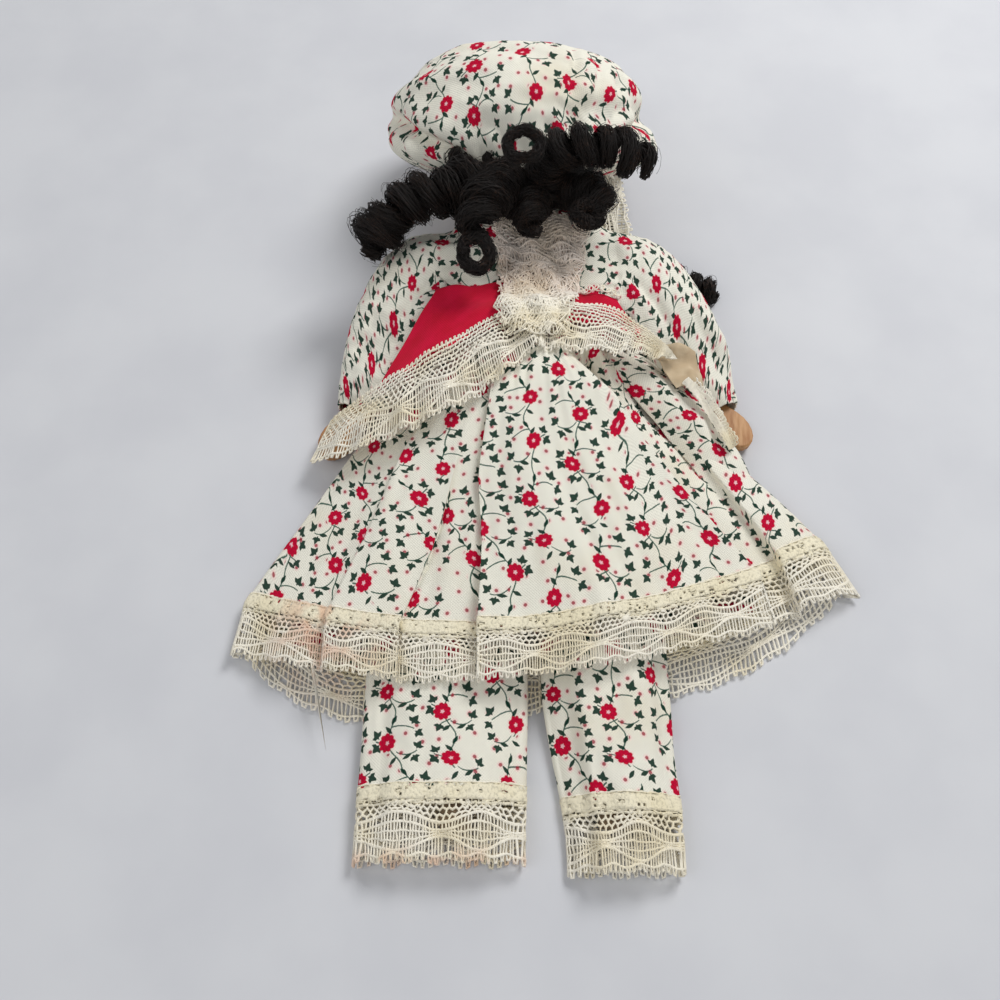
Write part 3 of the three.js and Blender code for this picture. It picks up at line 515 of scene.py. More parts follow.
def flatLace(length, width, seed, heading=True, s=laceEdging):
    # lace laid flat, with a close heading, net, ladders and eyes: x along it, y down from its upper edge
    columns = max(8, 2 * round(length / s["pitch"] / 2))
    rows = 12
    draw = random.Random(seed)
    bm = unitGrid(columns, rows)
    pitch = length / columns
    start = draw.uniform(0, s["repeat"])
    size = width / s["width"]
    grid = columns + 1
    for v in bm.verts:
        i, j = round(v.co.x * columns), round(v.co.y * rows)
        t = laceLines(np.array(i * pitch + start))[j]
        if 5 <= j <= 6:  # the cells of the net are pulled into honeycombs
            t += 0.3 * (1 if (i + j) % 2 == 0 else -1)
        a = i * pitch + (0 if i in (0, columns) else draw.uniform(-s["wander"], s["wander"]))
        t += draw.uniform(-s["wander"], s["wander"]) * (0.6 if j in (0, rows) else 1)
        v.co = (a, t * size, 0)
        v.index = i + j * grid

    gone = []
    for e in bm.edges:
        (i, j), (k, l) = ((v.index % grid, v.index // grid) for v in e.verts)
        if i == k and 0 < i < columns:
            rung = min(j, l) > 6
            missing = 0.04 if rung or min(j, l) < 4 else 0.1
            if (not rung and (i + min(j, l)) % 2) or draw.random() < missing:
                gone.append(e)
    bmesh.ops.dissolve_edges(bm, edges=gone, use_verts=False, use_face_split=False)
    # blunt fingers of thread below the last line, and scallops above the first where there is no heading
    finger = 10 ** 7  # the index that marks a finger's own points
    for row, sign, reach in ((rows, 1, 1.5), (0, -1, 0.8)):
        if row == 0 and heading:
            continue
        last = [e for e in bm.edges if e.is_boundary and all(v.index // grid == row for v in e.verts)]
        last.sort(key=lambda e: min(v.index for v in e.verts))
        for k in range(0, len(last), 2):
            made = bmesh.ops.extrude_edge_only(bm, edges=[last[k]])["geom"]
            tips = [g for g in made if isinstance(g, bmesh.types.BMVert)]
            drop = sign * reach * draw.uniform(0.8, 1.15) * size
            middle = sum(v.co.x for v in tips) / len(tips)
            for v in tips:
                v.co.y += drop
                v.co.x = middle + (v.co.x - middle) * 0.62
                v.index = finger

    def kinds():
        # the faces of the fingers, of the close heading and of the rest
        found = {"fingers": [], "close": [], "rest": []}
        for f in bm.faces:
            kind = "close" if f.calc_center_median().y < 5 * size else "rest"
            found["fingers" if any(v.index == finger for v in f.verts) else kind].append(f)
        return found
    bmesh.ops.split(bm, geom=kinds()["fingers"])
    bmesh.ops.split(bm, geom=kinds()["close"])
    faces = kinds()
    thick = mix(1, size, 0.5)
    bmesh.ops.solidify(bm, geom=faces["fingers"], thickness=0.42 * thick)
    for kind, wide in (("rest", s["thread"]), ("close", s["headThread" if heading else "thread"])):
        bmesh.ops.wireframe(bm, faces=faces[kind], thickness=wide * thick, use_replace=True,
                            use_boundary=True, use_even_offset=False)
    if heading:  # knots stand up all over the heading
        for v in bm.verts:
            if v.co.y < 5.2 * size:
                v.co += Vector([draw.uniform(*k) for k in ((-0.12, 0.12), (-0.14, 0.14), (-0.2, 0.32))])

    def addStrip(lowAt, highAt, rows, z, wall, holes=0.0):
        # a solid ribbon of thread between two heights, woven close
        strip = unitGrid(columns, rows)
        for v in strip.verts:
            a = v.co.x * length
            t = mix(lowAt(a), highAt(a), v.co.y) + draw.uniform(-0.12, 0.12)
            v.co = (a, t * size, z + draw.uniform(0, 0.12))
        if holes:
            bmesh.ops.delete(strip, geom=[f for f in strip.faces if draw.random() < holes], context="FACES")
        bmesh.ops.solidify(strip, geom=strip.faces[:], thickness=wall)
        mesh = bpy.data.meshes.new("strip")
        strip.to_mesh(mesh)
        strip.free()
        bm.from_mesh(mesh)
        bpy.data.meshes.remove(mesh)
    if heading:
        addStrip(lambda a: 0.35 + 0.2 * math.sin(1.7 * a + seed), lambda a: 4.3, 5, -0.3, 0.2, holes=0.1)
        addStrip(lambda a: 4.1, lambda a: 5.6 + 0.7 * math.sin(0.8 * a) + 0.6 * math.sin(0.31 * a + seed),
                 3, -0.2, 0.2, holes=0.45)
    for line, wide, lift in s["cords"]:
        if heading or line != 4:
            addStrip(lambda a: laceLines(np.array(a + start))[line] - wide / 2,
                     lambda a: laceLines(np.array(a + start))[line] + wide / 2, 1, lift, 0.4 * thick)
    return bm


def layLace(name, length, width, seed, place, lift=0.25, body=None, flip=1, heading=True):
    # bends flat lace on to the surface place(a, t), a from 0 to 1 along it and t from 0 to 1 down it
    bm = flatLace(length, width, seed, heading)
    flat = coords(bm)
    bm.verts.index_update()
    layer = bm.loops.layers.uv.new("cloth")
    for face in bm.faces:
        for loop in face.loops:
            x, y, _ = flat[loop.vert.index]
            loop[layer].uv = (x * mm, (y * laceEdging["width"] / width + (0 if heading else 9)) * mm)
    a, t, z = flat[:, 0] / length, flat[:, 1] / width, flat[:, 2] + lift
    step = 0.002
    here = np.stack(place(a, t), -1)
    along = np.stack(place(np.clip(a + step, 0, 1), t), -1) - np.stack(place(np.clip(a - step, 0, 1), t), -1)
    down = np.stack(place(a, t + 0.02), -1) - np.stack(place(a, t - 0.02), -1)
    normal = np.cross(along, down)
    normal /= np.maximum(np.linalg.norm(normal, axis=1, keepdims=True), 1e-9)
    setCoords(bm, (here + normal * (z * flip)[:, None]) * mm)
    if flip < 0:
        bmesh.ops.reverse_faces(bm, faces=bm.faces[:])
    return newObject(name, bm, laceMaterial, body)


def joinObjects(first, *others, second=None):
    # puts the meshes of the others into the first, which keeps its name
    bm = bmesh.new()
    bm.from_mesh(first.data)
    own = len(bm.faces)
    for obj in others:
        bm.from_mesh(obj.data)
    bm.faces.ensure_lookup_table()
    for face in bm.faces[own:]:
        face.material_index = 1 if second else 0
    bm.to_mesh(first.data)
    bm.free()
    if second:
        first.data.materials.append(second)
    for obj in others:
        bpy.data.objects.remove(obj)
    for face in first.data.polygons:
        face.use_smooth = True
    return first


print("skirt")
skirt = {
    "leftBow": (-44, 30), "rightBow": (46, 31), "hemLeft": (-80, -35), "hemRight": (84, -17),
    "hemBack": -46, "hemFront": -52, "hemMiddle": 17, "hemEdge": 5, "puff": 6,
    "columns": 400, "rows": 84, "wall": 0.4,
    # each fold: (v, s) stops down it, how far it laps, how deep, the reach of each side, which side is on top
    "folds": [
        {"line": [(0.1, -0.42), (0.235, -0.335), (0.485, -0.265), (0.76, -0.22), (1, -0.2)], "lap": 2.3,
         "depth": 2.4, "rise": 1.5, "left": 6, "right": 9, "top": 1, "start": 0.06},
        {"line": [(0.3, -0.42), (0.588, -0.43), (0.8, -0.445), (1, -0.47)], "lap": 1.4,
         "depth": 1.9, "rise": 0.9, "left": 5, "right": 5, "top": -1, "start": 0.42},
        {"line": [(0.1, 0.38), (0.195, 0.49), (0.34, 0.62), (0.54, 0.66), (0.76, 0.69), (1, 0.735)],
         "lap": 2.8, "depth": 4.0, "rise": 1.8, "left": 9, "right": 10, "top": -1, "start": 0.08},
        {"line": [(0.35, 0.93), (0.61, 0.905), (0.73, 0.89), (1, 0.86)], "lap": 1.5,
         "depth": 1.6, "rise": 1.8, "left": 5, "right": 5, "top": 1, "start": 0.3},
        {"line": [(0.2, -0.74), (1, -0.72)], "lap": 0.8, "depth": 1.4, "rise": 0.7, "left": 8, "right": 8,
         "top": 1, "start": 0.2},
    ],
    # (v, s) stops down the valley beside the bulging side
    "valley": [(0.15, 0.9), (0.415, 0.895), (0.61, 0.87), (0.73, 0.86), (0.95, 0.83), (1, 0.825)],
}


def skirtSides(v):
    s = skirt
    leftX = bow(-waistFlat, s["leftBow"][0], s["hemLeft"][0], v)
    rightX = bow(waistFlat, s["rightBow"][0], s["hemRight"][0], v)
    left = leftX - 3.2 * hump(v - 0.52, 0.18), bow(waistY, s["leftBow"][1], s["hemLeft"][1], v)
    return left, (rightX, bow(waistY, s["rightBow"][1], s["hemRight"][1], v))


skirtRumple = waves(5, 9, 60, 16, lean=0.0, spread=0.5)
skirtFine = waves(6, 12, 14, 5, lean=0.0, spread=0.8)


def skirtBack(s, v):
    left, right = skirtSides(v)
    half = (right[0] - left[0]) / 2
    push, z = 0, 0
    for fold in skirt["folds"]:
        p = (s - ramp(fold["line"], v)) * half
        grow = smooth((v - fold["start"]) / 0.22)
        push = push - fold["lap"] * grow * np.tanh(p / 0.95) * hump(p, 11)
        below, above = (fold["left"], fold["right"])[::fold["top"]]
        under = -fold["depth"] * np.exp(-np.abs(p) / below)
        over = fold["rise"] * np.exp(-np.abs(p) / above)
        z = z + mix(under, over, smooth((p * fold["top"] + 0.9) / 1.8)) * grow
    # the shaded valley between the big fold and the bulging side, and the pocket at its top
    z = z - 2.8 * hump((s - ramp(skirt["valley"], v)) * half, 5) * smooth((v - 0.2) / 0.2)
    z = z + 1.6 * hump((s - 0.97) * half, 5) * smooth((v - 0.3) / 0.3)
    z = z - 8 * hump((s - 0.62) * half, 4.0) * hump(v - 0.2, 0.09)
    # broad swells between the folds, rumples, and gathers at the waist
    z = z + 1.3 * np.sin(7.5 * s + 0.8) * smooth((v - 0.3) / 0.6) * (1 - s ** 4)
    rumpled = 0.75 * skirtRumple(s * 85, v * 90) + 0.22 * skirtFine(s * 85, v * 40)
    z = z + rumpled * smooth(v / 0.2) * (1 - s ** 6)
    z = z + 0.8 * np.sin(s * 46 + 2 * np.sin(s * 9)) * hump(v, 0.17)
    edgeMean = (left[1] + right[1]) / 2
    middle = mix(waistY, skirt["hemBack"], v)
    crown = ramp([(0, waistTop), (0.04, waistTop + 1), (0.1, waistTop + skirt["puff"]),
                  (0.25, waistTop + skirt["puff"] * 0.9), (1, skirt["hemMiddle"])], v, 0.04)
    edge = ramp([(0, waistTop), (0.04, waistTop), (0.14, 13), (0.3, 10), (0.5, 8), (1, skirt["hemEdge"])],
                v, 0.04)
    power = ramp([(0, 6), (0.14, 5), (0.4, 2.4)], v, 0.04)
    x = mix(left[0], right[0], (s + 1) / 2) + push
    y = mix(left[1], right[1], (s + 1) / 2) - (edgeMean - middle) * (1 - s * s)
    return x, y, edge + (crown - edge) * (1 - np.abs(s) ** power) + z


def skirtFront(s, v):
    left, right = skirtSides(v)
    edgeMean = (left[1] + right[1]) / 2
    middle = mix(waistY, skirt["hemFront"], v)
    low = ramp([(0, waistLow), (0.04, waistLow), (0.14, 0.3), (1, 0.3)], v, 0.02)
    x = mix(left[0], right[0], (s + 1) / 2)
    y = mix(left[1], right[1], (s + 1) / 2) - (edgeMean - middle) * (1 - s ** 4)
    z = low + (0.5 + 0.5 * np.sin(s * 31)) * 0.9 * smooth((v - 0.3) / 0.5)
    return x, y, z


def roundLoop(u, v, backAt, frontAt, f=0.17, t=0.035, bulge=1.0):
    # u runs from the middle of the front, round the left side, over the back and round the right side
    sFront = np.where(u < 0.5, -u / f, (1 - u) / f)
    sBack = np.clip((u - f - t) / (1 - 2 * f - 2 * t), 0, 1) * 2 - 1
    back = np.array(backAt(sBack, v))
    front = np.array(frontAt(np.clip(sFront, -1, 1), v))
    side = np.where(u < 0.5, -1.0, 1.0)
    high, low = np.array(backAt(side, v)), np.array(frontAt(side, v))
    turn = np.where(u < 0.5, 1 - (u - f) / t, (u - (1 - f - t)) / t)
    turn = np.clip(turn, 0, 1)
    radius = np.abs(high[2] - low[2]) / 2
    around = mix(high, low, turn)
    around[2] = (high[2] + low[2]) / 2 + (high[2] - low[2]) / 2 * np.cos(math.pi * turn)
    around[0] = around[0] + side * bulge * radius * np.sin(math.pi * turn)
    onFront = (u <= f) | (u >= 1 - f)
    onBack = (u >= f + t) & (u <= 1 - f - t)
    return np.where(onFront, front, np.where(onBack, back, around))


def aroundSkirt(u, v):
    return roundLoop(u, v, skirtBack, skirtFront, bulge=1 - 0.75 * hump(v - 0.5, 0.28))


def makeSkirtSide():
    # the skirt's right side, rolled out over the sleeve's inner edge and beside the hand
    rumple = waves(8, 8, 16, 6)
    inner = [(20, 41, 19), (38, 24, 10), (56, -4, 7)]
    outer = [(35, 43.5, 17.5), (60.5, 26.5, 14), (69, 0, 6.5)]

    def place(u, v):
        x, y, z = strip(inner, outer, v, u)
        return x, y, z + 2.8 * np.sin(math.pi * u) * np.sin(math.pi * v) - 2.6 * u ** 5 + 0.4 * rumple(x, y)
    return newObject("skirt_side", clothGrid(50, 90, place, up=True, anyWay=True), calicoMaterial)


def makeSkirt():
    bm = clothGrid(skirt["columns"], skirt["rows"], aroundSkirt, closed=True)
    obj = joinObjects(newObject("skirt_cloth", bm, calicoMaterial), makeSkirtSide())
    return standsFor(thicken(obj, skirt["wall"]), "skirt")


skirtObject = makeSkirt()

hem = {"width": 16.2, "lap": 1.6, "leftEnd": (-2.3, -17.0), "rightEnd": (8.5, -15.5), "ruffle": 1.3,
       "fullness": 1.04}


def hemAt(u, t):
    # from a little above the skirt's hem down to the lace's own edge
    down = t * hem["width"] - hem["lap"]
    v = np.where(down < 0, 1 + down / 92, 1.0)
    x, y, z = aroundSkirt(u, v)
    s = np.clip((x - skirt["hemLeft"][0]) / (skirt["hemRight"][0] - skirt["hemLeft"][0]), 0, 1)
    far = np.abs(2 * s - 1)
    fall = np.maximum(down, 0) / (hem["width"] - hem["lap"])
    sideways = np.where(z < 1.5, 0.55, 1)
    x = x + fall * mix(hem["leftEnd"][0], hem["rightEnd"][0], s) * far ** 3 * sideways
    y = y - fall * (hem["width"] - hem["lap"]) * (1 + 0.1 * far)
    back = smooth((z - 1.5) / 3)
    wave = np.sin(u * 2 * math.pi * 13 + 1.5 * np.sin(u * 2 * math.pi * 4))
    z = z * mix(1, 0.93, fall) + back * hem["ruffle"] * wave * fall ** 1.3 * 0.8
    z = np.maximum(z, 0.45)
    return x, y, z + 0.35 * (1 - fall) * back


def makeHemLace():
    around = lengthOf(aroundSkirt(np.linspace(0, 1, 1200), np.ones(1200)))
    obj = layLace("hem_lace_edging", around * hem["fullness"], hem["width"], 3, hemAt)
    return standsFor(obj, "hem_lace"), around


hemLace, hemAround = makeHemLace()
print("hem", round(hemAround), "mm round")

print("pantaloons")
legs = {
    "left": {"top": (-46.0, -1.3), "cuff": (-46.6, -2.2), "seed": 21, "longer": 1.0},
    "right": {"top": (1.3, 38.4), "cuff": (6.5, 38.2), "seed": 22, "longer": 3.6},
    "crotchY": -9, "cuffY": -88, "topZ": 15, "cuffZ": 10, "lift": 1.3, "wall": 0.4,
    "lace": 19.5, "lap": 2.0, "columns": 220, "rows": 90,
}


def legSpan(side, y):
    # the leg's two edges at a height y, its top and its underside, drawn in a little towards the cuff
    share = smooth((-60 - y) / 45)
    (a, b), (c, d) = legs[side]["top"], legs[side]["cuff"]
    top = mix(legs["topZ"], legs["cuffZ"], smooth((legs["crotchY"] - y) / 79))
    low = legs["lift"] * (1 - smooth((-70.5 - y) / 6))
    inset = (top * 0.6 - low) / 2
    return mix(a, c, share) + inset, mix(b, d, share) - inset, top, low


def legLoop(side, rumple, fine):
    def back(s, y):
        x0, x1, top, _ = legSpan(side, y)
        x = mix(x0, x1, (s + 1) / 2)
        shoulder = top * 0.6
        z = shoulder + (top - shoulder) * (1 - np.abs(s) ** 3.2)
        z = z + (0.55 * rumple(x, y) + 0.16 * fine(x, y)) * (1 - s ** 8)
        if side == "right":  # the inner side turns under, more so towards the cuff
            turned = smooth((-20 - y) / 70)
            z = z - 2.8 * turned * smooth((-0.45 - s) / 0.3) + 0.5 * turned * hump(s + 0.5, 0.12)
            z = z - 1.6 * smooth((s - 0.72) / 0.2) * smooth((y + 95) / 20)
        else:
            z = z - 0.9 * hump(s + 0.82, 0.1) - 0.5 * hump(s - 0.6, 0.14)
        return x, y, z

    def front(s, y):
        x0, x1, _, low = legSpan(side, y)
        return mix(x0, x1, (s + 1) / 2), y, low + 0.25 + 0 * s
    return back, front


def makeLeg(side):
    s = legs[side]
    rumple, fine = waves(s["seed"], 8, 38, 12, lean=0.15, spread=0.5), waves(s["seed"] + 9, 10, 9, 3.5)
    back, front = legLoop(side, rumple, fine)
    end = legs["cuffY"] - s["longer"]

    def place(u, v):
        return roundLoop(u, mix(legs["crotchY"], end, v), back, front, 0.2, 0.06)
    bm = clothGrid(legs["columns"], legs["rows"], place, closed=True)
    cloth = thicken(newObject("pantaloon_cloth_" + side, bm, calicoMaterial, "legs"), legs["wall"])
    standsFor(cloth, "pantaloon_" + side)

    def cuff(u, t):
        down = t * legs["lace"] - legs["lap"]
        x, y, z = roundLoop(u, end - down, back, front, 0.2, 0.06)
        fall = np.maximum(down, 0) / (legs["lace"] - legs["lap"])
        on = smooth((z - 1.4) / 2)
        wave = np.sin(u * 2 * math.pi * 9 + s["seed"]) * fall
        return x, y, np.maximum(z * mix(1, 0.88, fall) + on * (0.3 + 0.45 * wave), 0.35)
    around = lengthOf(cuff(np.linspace(0, 1, 800), np.full(800, 0.1)))
    lace = layLace("cuff_edging_" + side, around, legs["lace"], s["seed"], cuff, body="legs")
    return cloth, standsFor(lace, "cuff_lace_" + side), around


legCloths = {side: makeLeg(side) for side in ("left", "right")}


print("bodice and sleeves")
bodiceTopY, backCover, frontCover = 93.43, 8.5, 14.65
bodiceHalf = [(0, 9.5), (0.03, 17), (0.06, 21), (0.12, 24.5), (0.2, 25.2), (0.5, 25.2), (1, 22)]


def makeBodice():
    rumple = waves(31, 9, 12, 4, lean=0.0, spread=0.35)

    def place(u, v):
        y = mix(bodiceTopY, 44, v)
        pinch = 1 - smooth(v / 0.06)
        top = bodyZ(y) + backCover - 3 * pinch
        low = bodyZ(y) - mix(frontCover, backCover + 1.5, smooth((v - 0.5) / 0.5)) + 8 * pinch
        x, z = tube(u, ramp(bodiceHalf, v, 0.02), low, top, 0.55, 0.45)
        return x, y, np.maximum(z + 0.22 * rumple(x, y) * (z > 5), 0.3)
    bm = clothGrid(150, 60, place, closed=True)
    for side in (-1, 1):  # armholes
        hole = [v for v in bm.verts if v.co.x * side > 0.0225 and abs(v.co.y - 0.0735) < 0.0175
                and abs(v.co.z - 0.0119) < 0.0048]
        bmesh.ops.delete(bm, geom=hole, context="VERTS")
    obj = newObject("bodice_cloth", bm, calicoMaterial, "body")
    return standsFor(thicken(obj, 0.4), "bodice")


bodice = makeBodice()

sleeve = {
    # from shoulder to wrist: (out, up) of its middle, half its width, its underside and its top
    "stops": [((0, -11), 18, 4.4, 27), ((7, -12.4), 16.8, 3.6, 27.5), ((16, -22), 15.5, 1.8, 25),
              ((22.9, -33.7), 13.6, 0.5, 20), ((28.8, -46.2), 10.7, 0.4, 15),
              ((33.2, -54.9), 7.6, 0.4, 9.8)],
    "spread": {-1: 0.82, 1: 1.0}, "start": 25.9, "shoulderY": 82.31, "lap": {-1: 16.0, 1: 12.5},
    "tuck": {-1: 0.8, 1: 3.0}, "columns": 180, "rows": 100,
}


def throughStops(values, v):
    # a smooth line through evenly spaced values
    values = np.array(values, float)
    last = len(values) - 1
    at = np.clip(v, 0, 1) * last
    i = np.minimum(at.astype(int), last - 1)
    t = at - i
    p = [values[np.clip(i + k, 0, last)] for k in (-1, 0, 1, 2)]
    return 0.5 * (2 * p[1] + (p[2] - p[0]) * t + (2 * p[0] - 5 * p[1] + 4 * p[2] - p[3]) * t ** 2
                  + (3 * p[1] - p[0] - 3 * p[2] + p[3]) * t ** 3)


def makeShadedPlain():
    # the plain, crumpled wrong side of the cotton, in a darker beige than the cloth: partly its own duller
    # colour, partly painted shade of the crumpled patch
    made, w, shader = material("shadedPlainCotton")
    where = w.space()
    tone = w.spread(w.noise(where, 130.0, 2.0), 0.35, 0.65)
    colour = w.blend(tone, linear(212, 194, 164), linear(188, 166, 134))
    w.coat(shader, colour, 0.9, w.noise(where, 420.0, 3.0), 0.7, 0.0005)
    return made


shadedPlainMaterial = makeShadedPlain()


def makeLining():
    # where the right sleeve's edge hangs open over the skirt, its wrong side shows
    rumple = waves(131, 9, 13, 3.5)
    corners = [(36.5, 43.5, 20.5), (51.5, 42.5, 21.5), (53.5, 31.5, 18.5), (44.5, 29, 17.5)]

    def place(u, v):
        x, y, z = between(corners, u, v)
        return x, y, z + 0.8 * rumple(x, y) - 3.5 * hump(u - 1, 0.25)
    return newObject("lining", clothGrid(60, 60, place, up=True, anyWay=True), calicoMaterial)


def makeSleeve(side):
    word = "left" if side < 0 else "right"
    s = sleeve
    rumple = waves(41 + side, 8, 30, 10, lean=1.2, spread=0.5)
    fine = waves(51 + side, 10, 9, 3.5)
    acrossAt, downAt = ([k[0][i] for k in s["stops"]] for i in (0, 1))

    def place(u, v):
        cx = side * (s["start"] + throughStops(acrossAt, v) * s["spread"][side])
        cy = s["shoulderY"] + throughStops(downAt, v)
        near, far = np.clip(v - 0.01, 0, 1), np.clip(v + 0.01, 0, 1)
        dx = side * s["spread"][side] * (throughStops(acrossAt, far) - throughStops(acrossAt, near))
        dy = throughStops(downAt, far) - throughStops(downAt, near)
        long = np.hypot(dx, dy) + 1e-9
        first = smooth(v / 0.05)
        ox, oy = mix(0, -dy / long * side, first), mix(1, dx / long * side, first)
        half, low, high = (throughStops([k[i] for k in s["stops"]], v) for i in (1, 2, 3))
        a = 2 * math.pi * u - math.pi / 2
        ends = hump(v - 1, 0.1) + 0.8 * hump(v - 0.04, 0.1)
        gather = 1 - 0.035 * ends * (1 + np.sin(23 * a + 3 * np.sin(3 * a)))
        across = power(np.cos(a), 0.68) * half * gather
        up = power(np.sin(a), 0.68) * gather
        z = mix(low, high, 0.5 + 0.5 * up)
        x, y = cx + ox * across, cy + oy * across
        over = smooth((up + 0.2) / 0.6)
        z = z + over * (0.9 * rumple(x, y) + 0.3 * fine(x, y)) * smooth(v / 0.1)
        # long soft creases from the shoulder to the wrist, and a puckered tuck on the inner side
        z = z - over * 1.7 * hump(across + 6 - 5 * v, 1.6) * hump(v - 0.4, 0.22)
        z = z - over * 1.1 * hump(across - 3 - 4 * v, 1.8) * hump(v - 0.62, 0.2)
        z = z - over * s["tuck"][side] * hump(across + 0.55 * half, 1.5) * hump(v - 0.74, 0.05)
        z = z + over * 0.9 * hump(across + 0.75 * half, 1.5) * hump(v - 0.68, 0.12)
        x = np.where(v > 0.004, side * np.maximum(side * x, s["start"]), x)
        # the head of the sleeve laps over the bodice's edge
        lap = (1 - smooth(v / 0.07)) * smooth((up + 0.05) / 0.3)
        x = x - side * lap * s["lap"][side]
        rest = bodyZ(y) + backCover + 0.7 - 3.4 * smooth((y - 86) / 6)
        rest = rest + 0.35 * rumple(x, y) + 0.3 * np.sin(0.5 * y + 0.25 * x)
        z = mix(z, np.minimum(np.maximum(z, rest), rest + 1.0), smooth(lap * 1.4))
        return x, y, np.maximum(z, 0.35)
    bm = clothGrid(s["columns"], s["rows"], place, closed=True, anyWay=True)
    obj = newObject("sleeve_cloth_" + word, bm, calicoMaterial)
    if side > 0:
        # the lining takes the wrong side's beige, which is partly painted shade
        joinObjects(obj, makeLining(), second=shadedPlainMaterial)
    return standsFor(thicken(obj, 0.4), "sleeve_" + word)


sleeves = {side: makeSleeve(side) for side in (-1, 1)}


print("cap")
cap = {
    "halfX": 43.5, "halfT": 36, "high": 29, "shift": 9.5, "lift": 10.5, "rim": 24.4, "rimDrop": 4,
    "aside": -2.5,
    "columns": 260, "rows": 110, "wall": 0.4,
    # creases on the side towards the nape, from one (across, up) to another: how deep, how wide, how far the
    # cloth beside them swells
    "creases": [((-46, 17), (-21, 1), 4.6, 1.9, 1.5), ((40, 16.5), (24, 5), 3.0, 1.7, 1.0),
                ((15, 36), (12, 20), 1.5, 1.4, 0.5), ((23, 31), (19, 15), 1.2, 1.3, 0.4),
                ((30, 26), (26, 11), 1.3, 1.3, 0.4), ((4, 12), (14, 4), 1.0, 1.6, 0.3),
                ((-14, 14), (-2, 5), 0.9, 1.8, 0.3)],
}


def makeCap():
    s = cap
    rimAngle = -math.asin((s["lift"] + s["rimDrop"]) / s["high"])
    lean = math.radians(45)
    rumple, fine = waves(61, 8, 34, 12), waves(62, 12, 9, 4)
    n, along = np.array((0, math.cos(lean), math.sin(lean))), np.array((0, math.sin(lean), -math.cos(lean)))
    middle = np.array(headCentre) + n * s["lift"] + along * s["shift"]

    def place(u, v):
        angle = mix(rimAngle, math.pi / 2, v)
        rise = np.clip((angle - rimAngle) / -rimAngle, 0, 1)
        wide, long = 1 - (1 - rise) ** 3, smooth(rise)
        a = 2 * math.pi * u
        pleat = np.sin(30 * a + 2.5 * np.sin(4 * a)) * hump(v, 0.24)
        swell = 1 + 0.03 * pleat + 0.006 * np.sin(17 * a) * hump(v - 0.3, 0.2)
        reach = np.maximum(np.cos(angle), 0) ** 0.84
        up = s["lift"] + s["high"] * np.where(angle > 0, np.abs(np.sin(angle)) ** 0.86, np.sin(angle))
        x = mix(s["rim"], s["halfX"] * reach, wide) * np.cos(a) * swell + s["aside"] * wide
        t = mix(s["rim"], s["halfT"] * reach, long) * np.sin(a) * swell
        # a lobe at the lower right, below a notch, and a tighter lower left
        x = x + wide * smooth(np.cos(a) / 0.6) * (4.2 * hump(up - 4, 6.5) - 2.6 * hump(up - 17, 3.6))
        x = x + wide * smooth(-np.cos(a) / 0.6) * 3.0 * hump(up + 3, 4.5)
        nape = smooth((0.2 - np.sin(a)) / 0.5)
        move = s["shift"] * long
        p = [headCentre[k] + n[k] * up + along[k] * (move + t) for k in range(3)]
        p[0] = p[0] + x
        out = [p[k] - middle[k] for k in range(3)]
        span = np.sqrt(sum(o * o for o in out)) + 1e-6
        push = (0.7 * rumple(x, t + up) + 0.12 * fine(x, t + up)) * smooth(v / 0.12)
        for (ax, au), (bx, bu), deep, width, lobe in s["creases"]:
            length = math.hypot(bx - ax, bu - au)
            ex, eu = (bx - ax) / length, (bu - au) / length
            far, off = (x - ax) * ex + (up - au) * eu, ((up - au) * ex - (x - ax) * eu) * np.sign(ex)
            off = off + 0.8 * np.sin(far / 5.5)  # the crease wanders a little
            hold = smooth((far + 3) / 6) * smooth((length - far + 2) / 8) * nape
            push = push - deep * hump(off, width) * hold
            beside = hump(off + 2.6 * width, 2 * width) + 0.6 * hump(off - 2.6 * width, 2 * width)
            push = push + lobe * beside * hold
        p = [p[k] + out[k] / span * push for k in range(3)]
        return p[0], p[1], np.maximum(p[2], 0.4)

    def flatten(u, v):
        a = 2 * math.pi * u
        angle = mix(rimAngle, math.pi / 2, np.linspace(0, 1, 300))
        rise = np.clip((angle - rimAngle) / -rimAngle, 0, 1)
        wide = mix(s["rim"], 40 * np.maximum(np.cos(angle), 0) ** 0.84, 1 - (1 - rise) ** 3)
        up = s["high"] * np.where(angle > 0, np.abs(np.sin(angle)) ** 0.86, np.sin(angle))
        fromRim = np.concatenate([[0], np.cumsum(np.hypot(np.diff(wide), np.diff(up)))])
        reach = (fromRim[-1] - np.interp(v, np.linspace(0, 1, 300), fromRim)) * 0.9 + 2
        return reach * np.cos(a), reach * np.sin(a) * 0.9
    bm = clothGrid(s["columns"], s["rows"], place, closed=True, flatUV=flatten)
    obj = newObject("cap_cloth", bm, calicoMaterial, "head")
    return standsFor(thicken(obj, s["wall"]), "mob_cap")


capObject = makeCap()


print("shawl")
shawlZ, shawlFall = 32.7, 0.0062


def shawlTop(x, y):
    high = shawlZ - shawlFall * x * x
    sag = smooth((y - 47) / 12) * smooth((24 - np.abs(x)) / 8)
    return mix(high, bodyZ(y) + backCover + 1.15, sag)


def makeRed():
    made, w, shader = material("crimsonCotton")
    flat = w.flat()
    warp, weft = (w.math("SINE", k * (math.pi / 0.34)) for k in w.split(flat)[:2])
    threads = warp * weft * 0.5 + w.noise(w.vector("MULTIPLY", flat, (0.6, 3.5, 1.0)), 1.0, 3.0)
    red = w.blend(w.spread(w.noise(flat, 0.12, 2.0), 0.3, 0.7), linear(196, 4, 44), linear(214, 8, 58))
    # the red is darker where the threads dip and lighter on their crowns: painted shade and light of the
    # weave
    w.coat(shader, w.darken(red, w.spread(threads, 0.0, 1.2, 0.8, 1.1, "LINEAR")), 0.85, threads,
           **{"Sheen Weight": 0.05, "Specular IOR Level": 0.2})
    return made


redMaterial = makeRed()


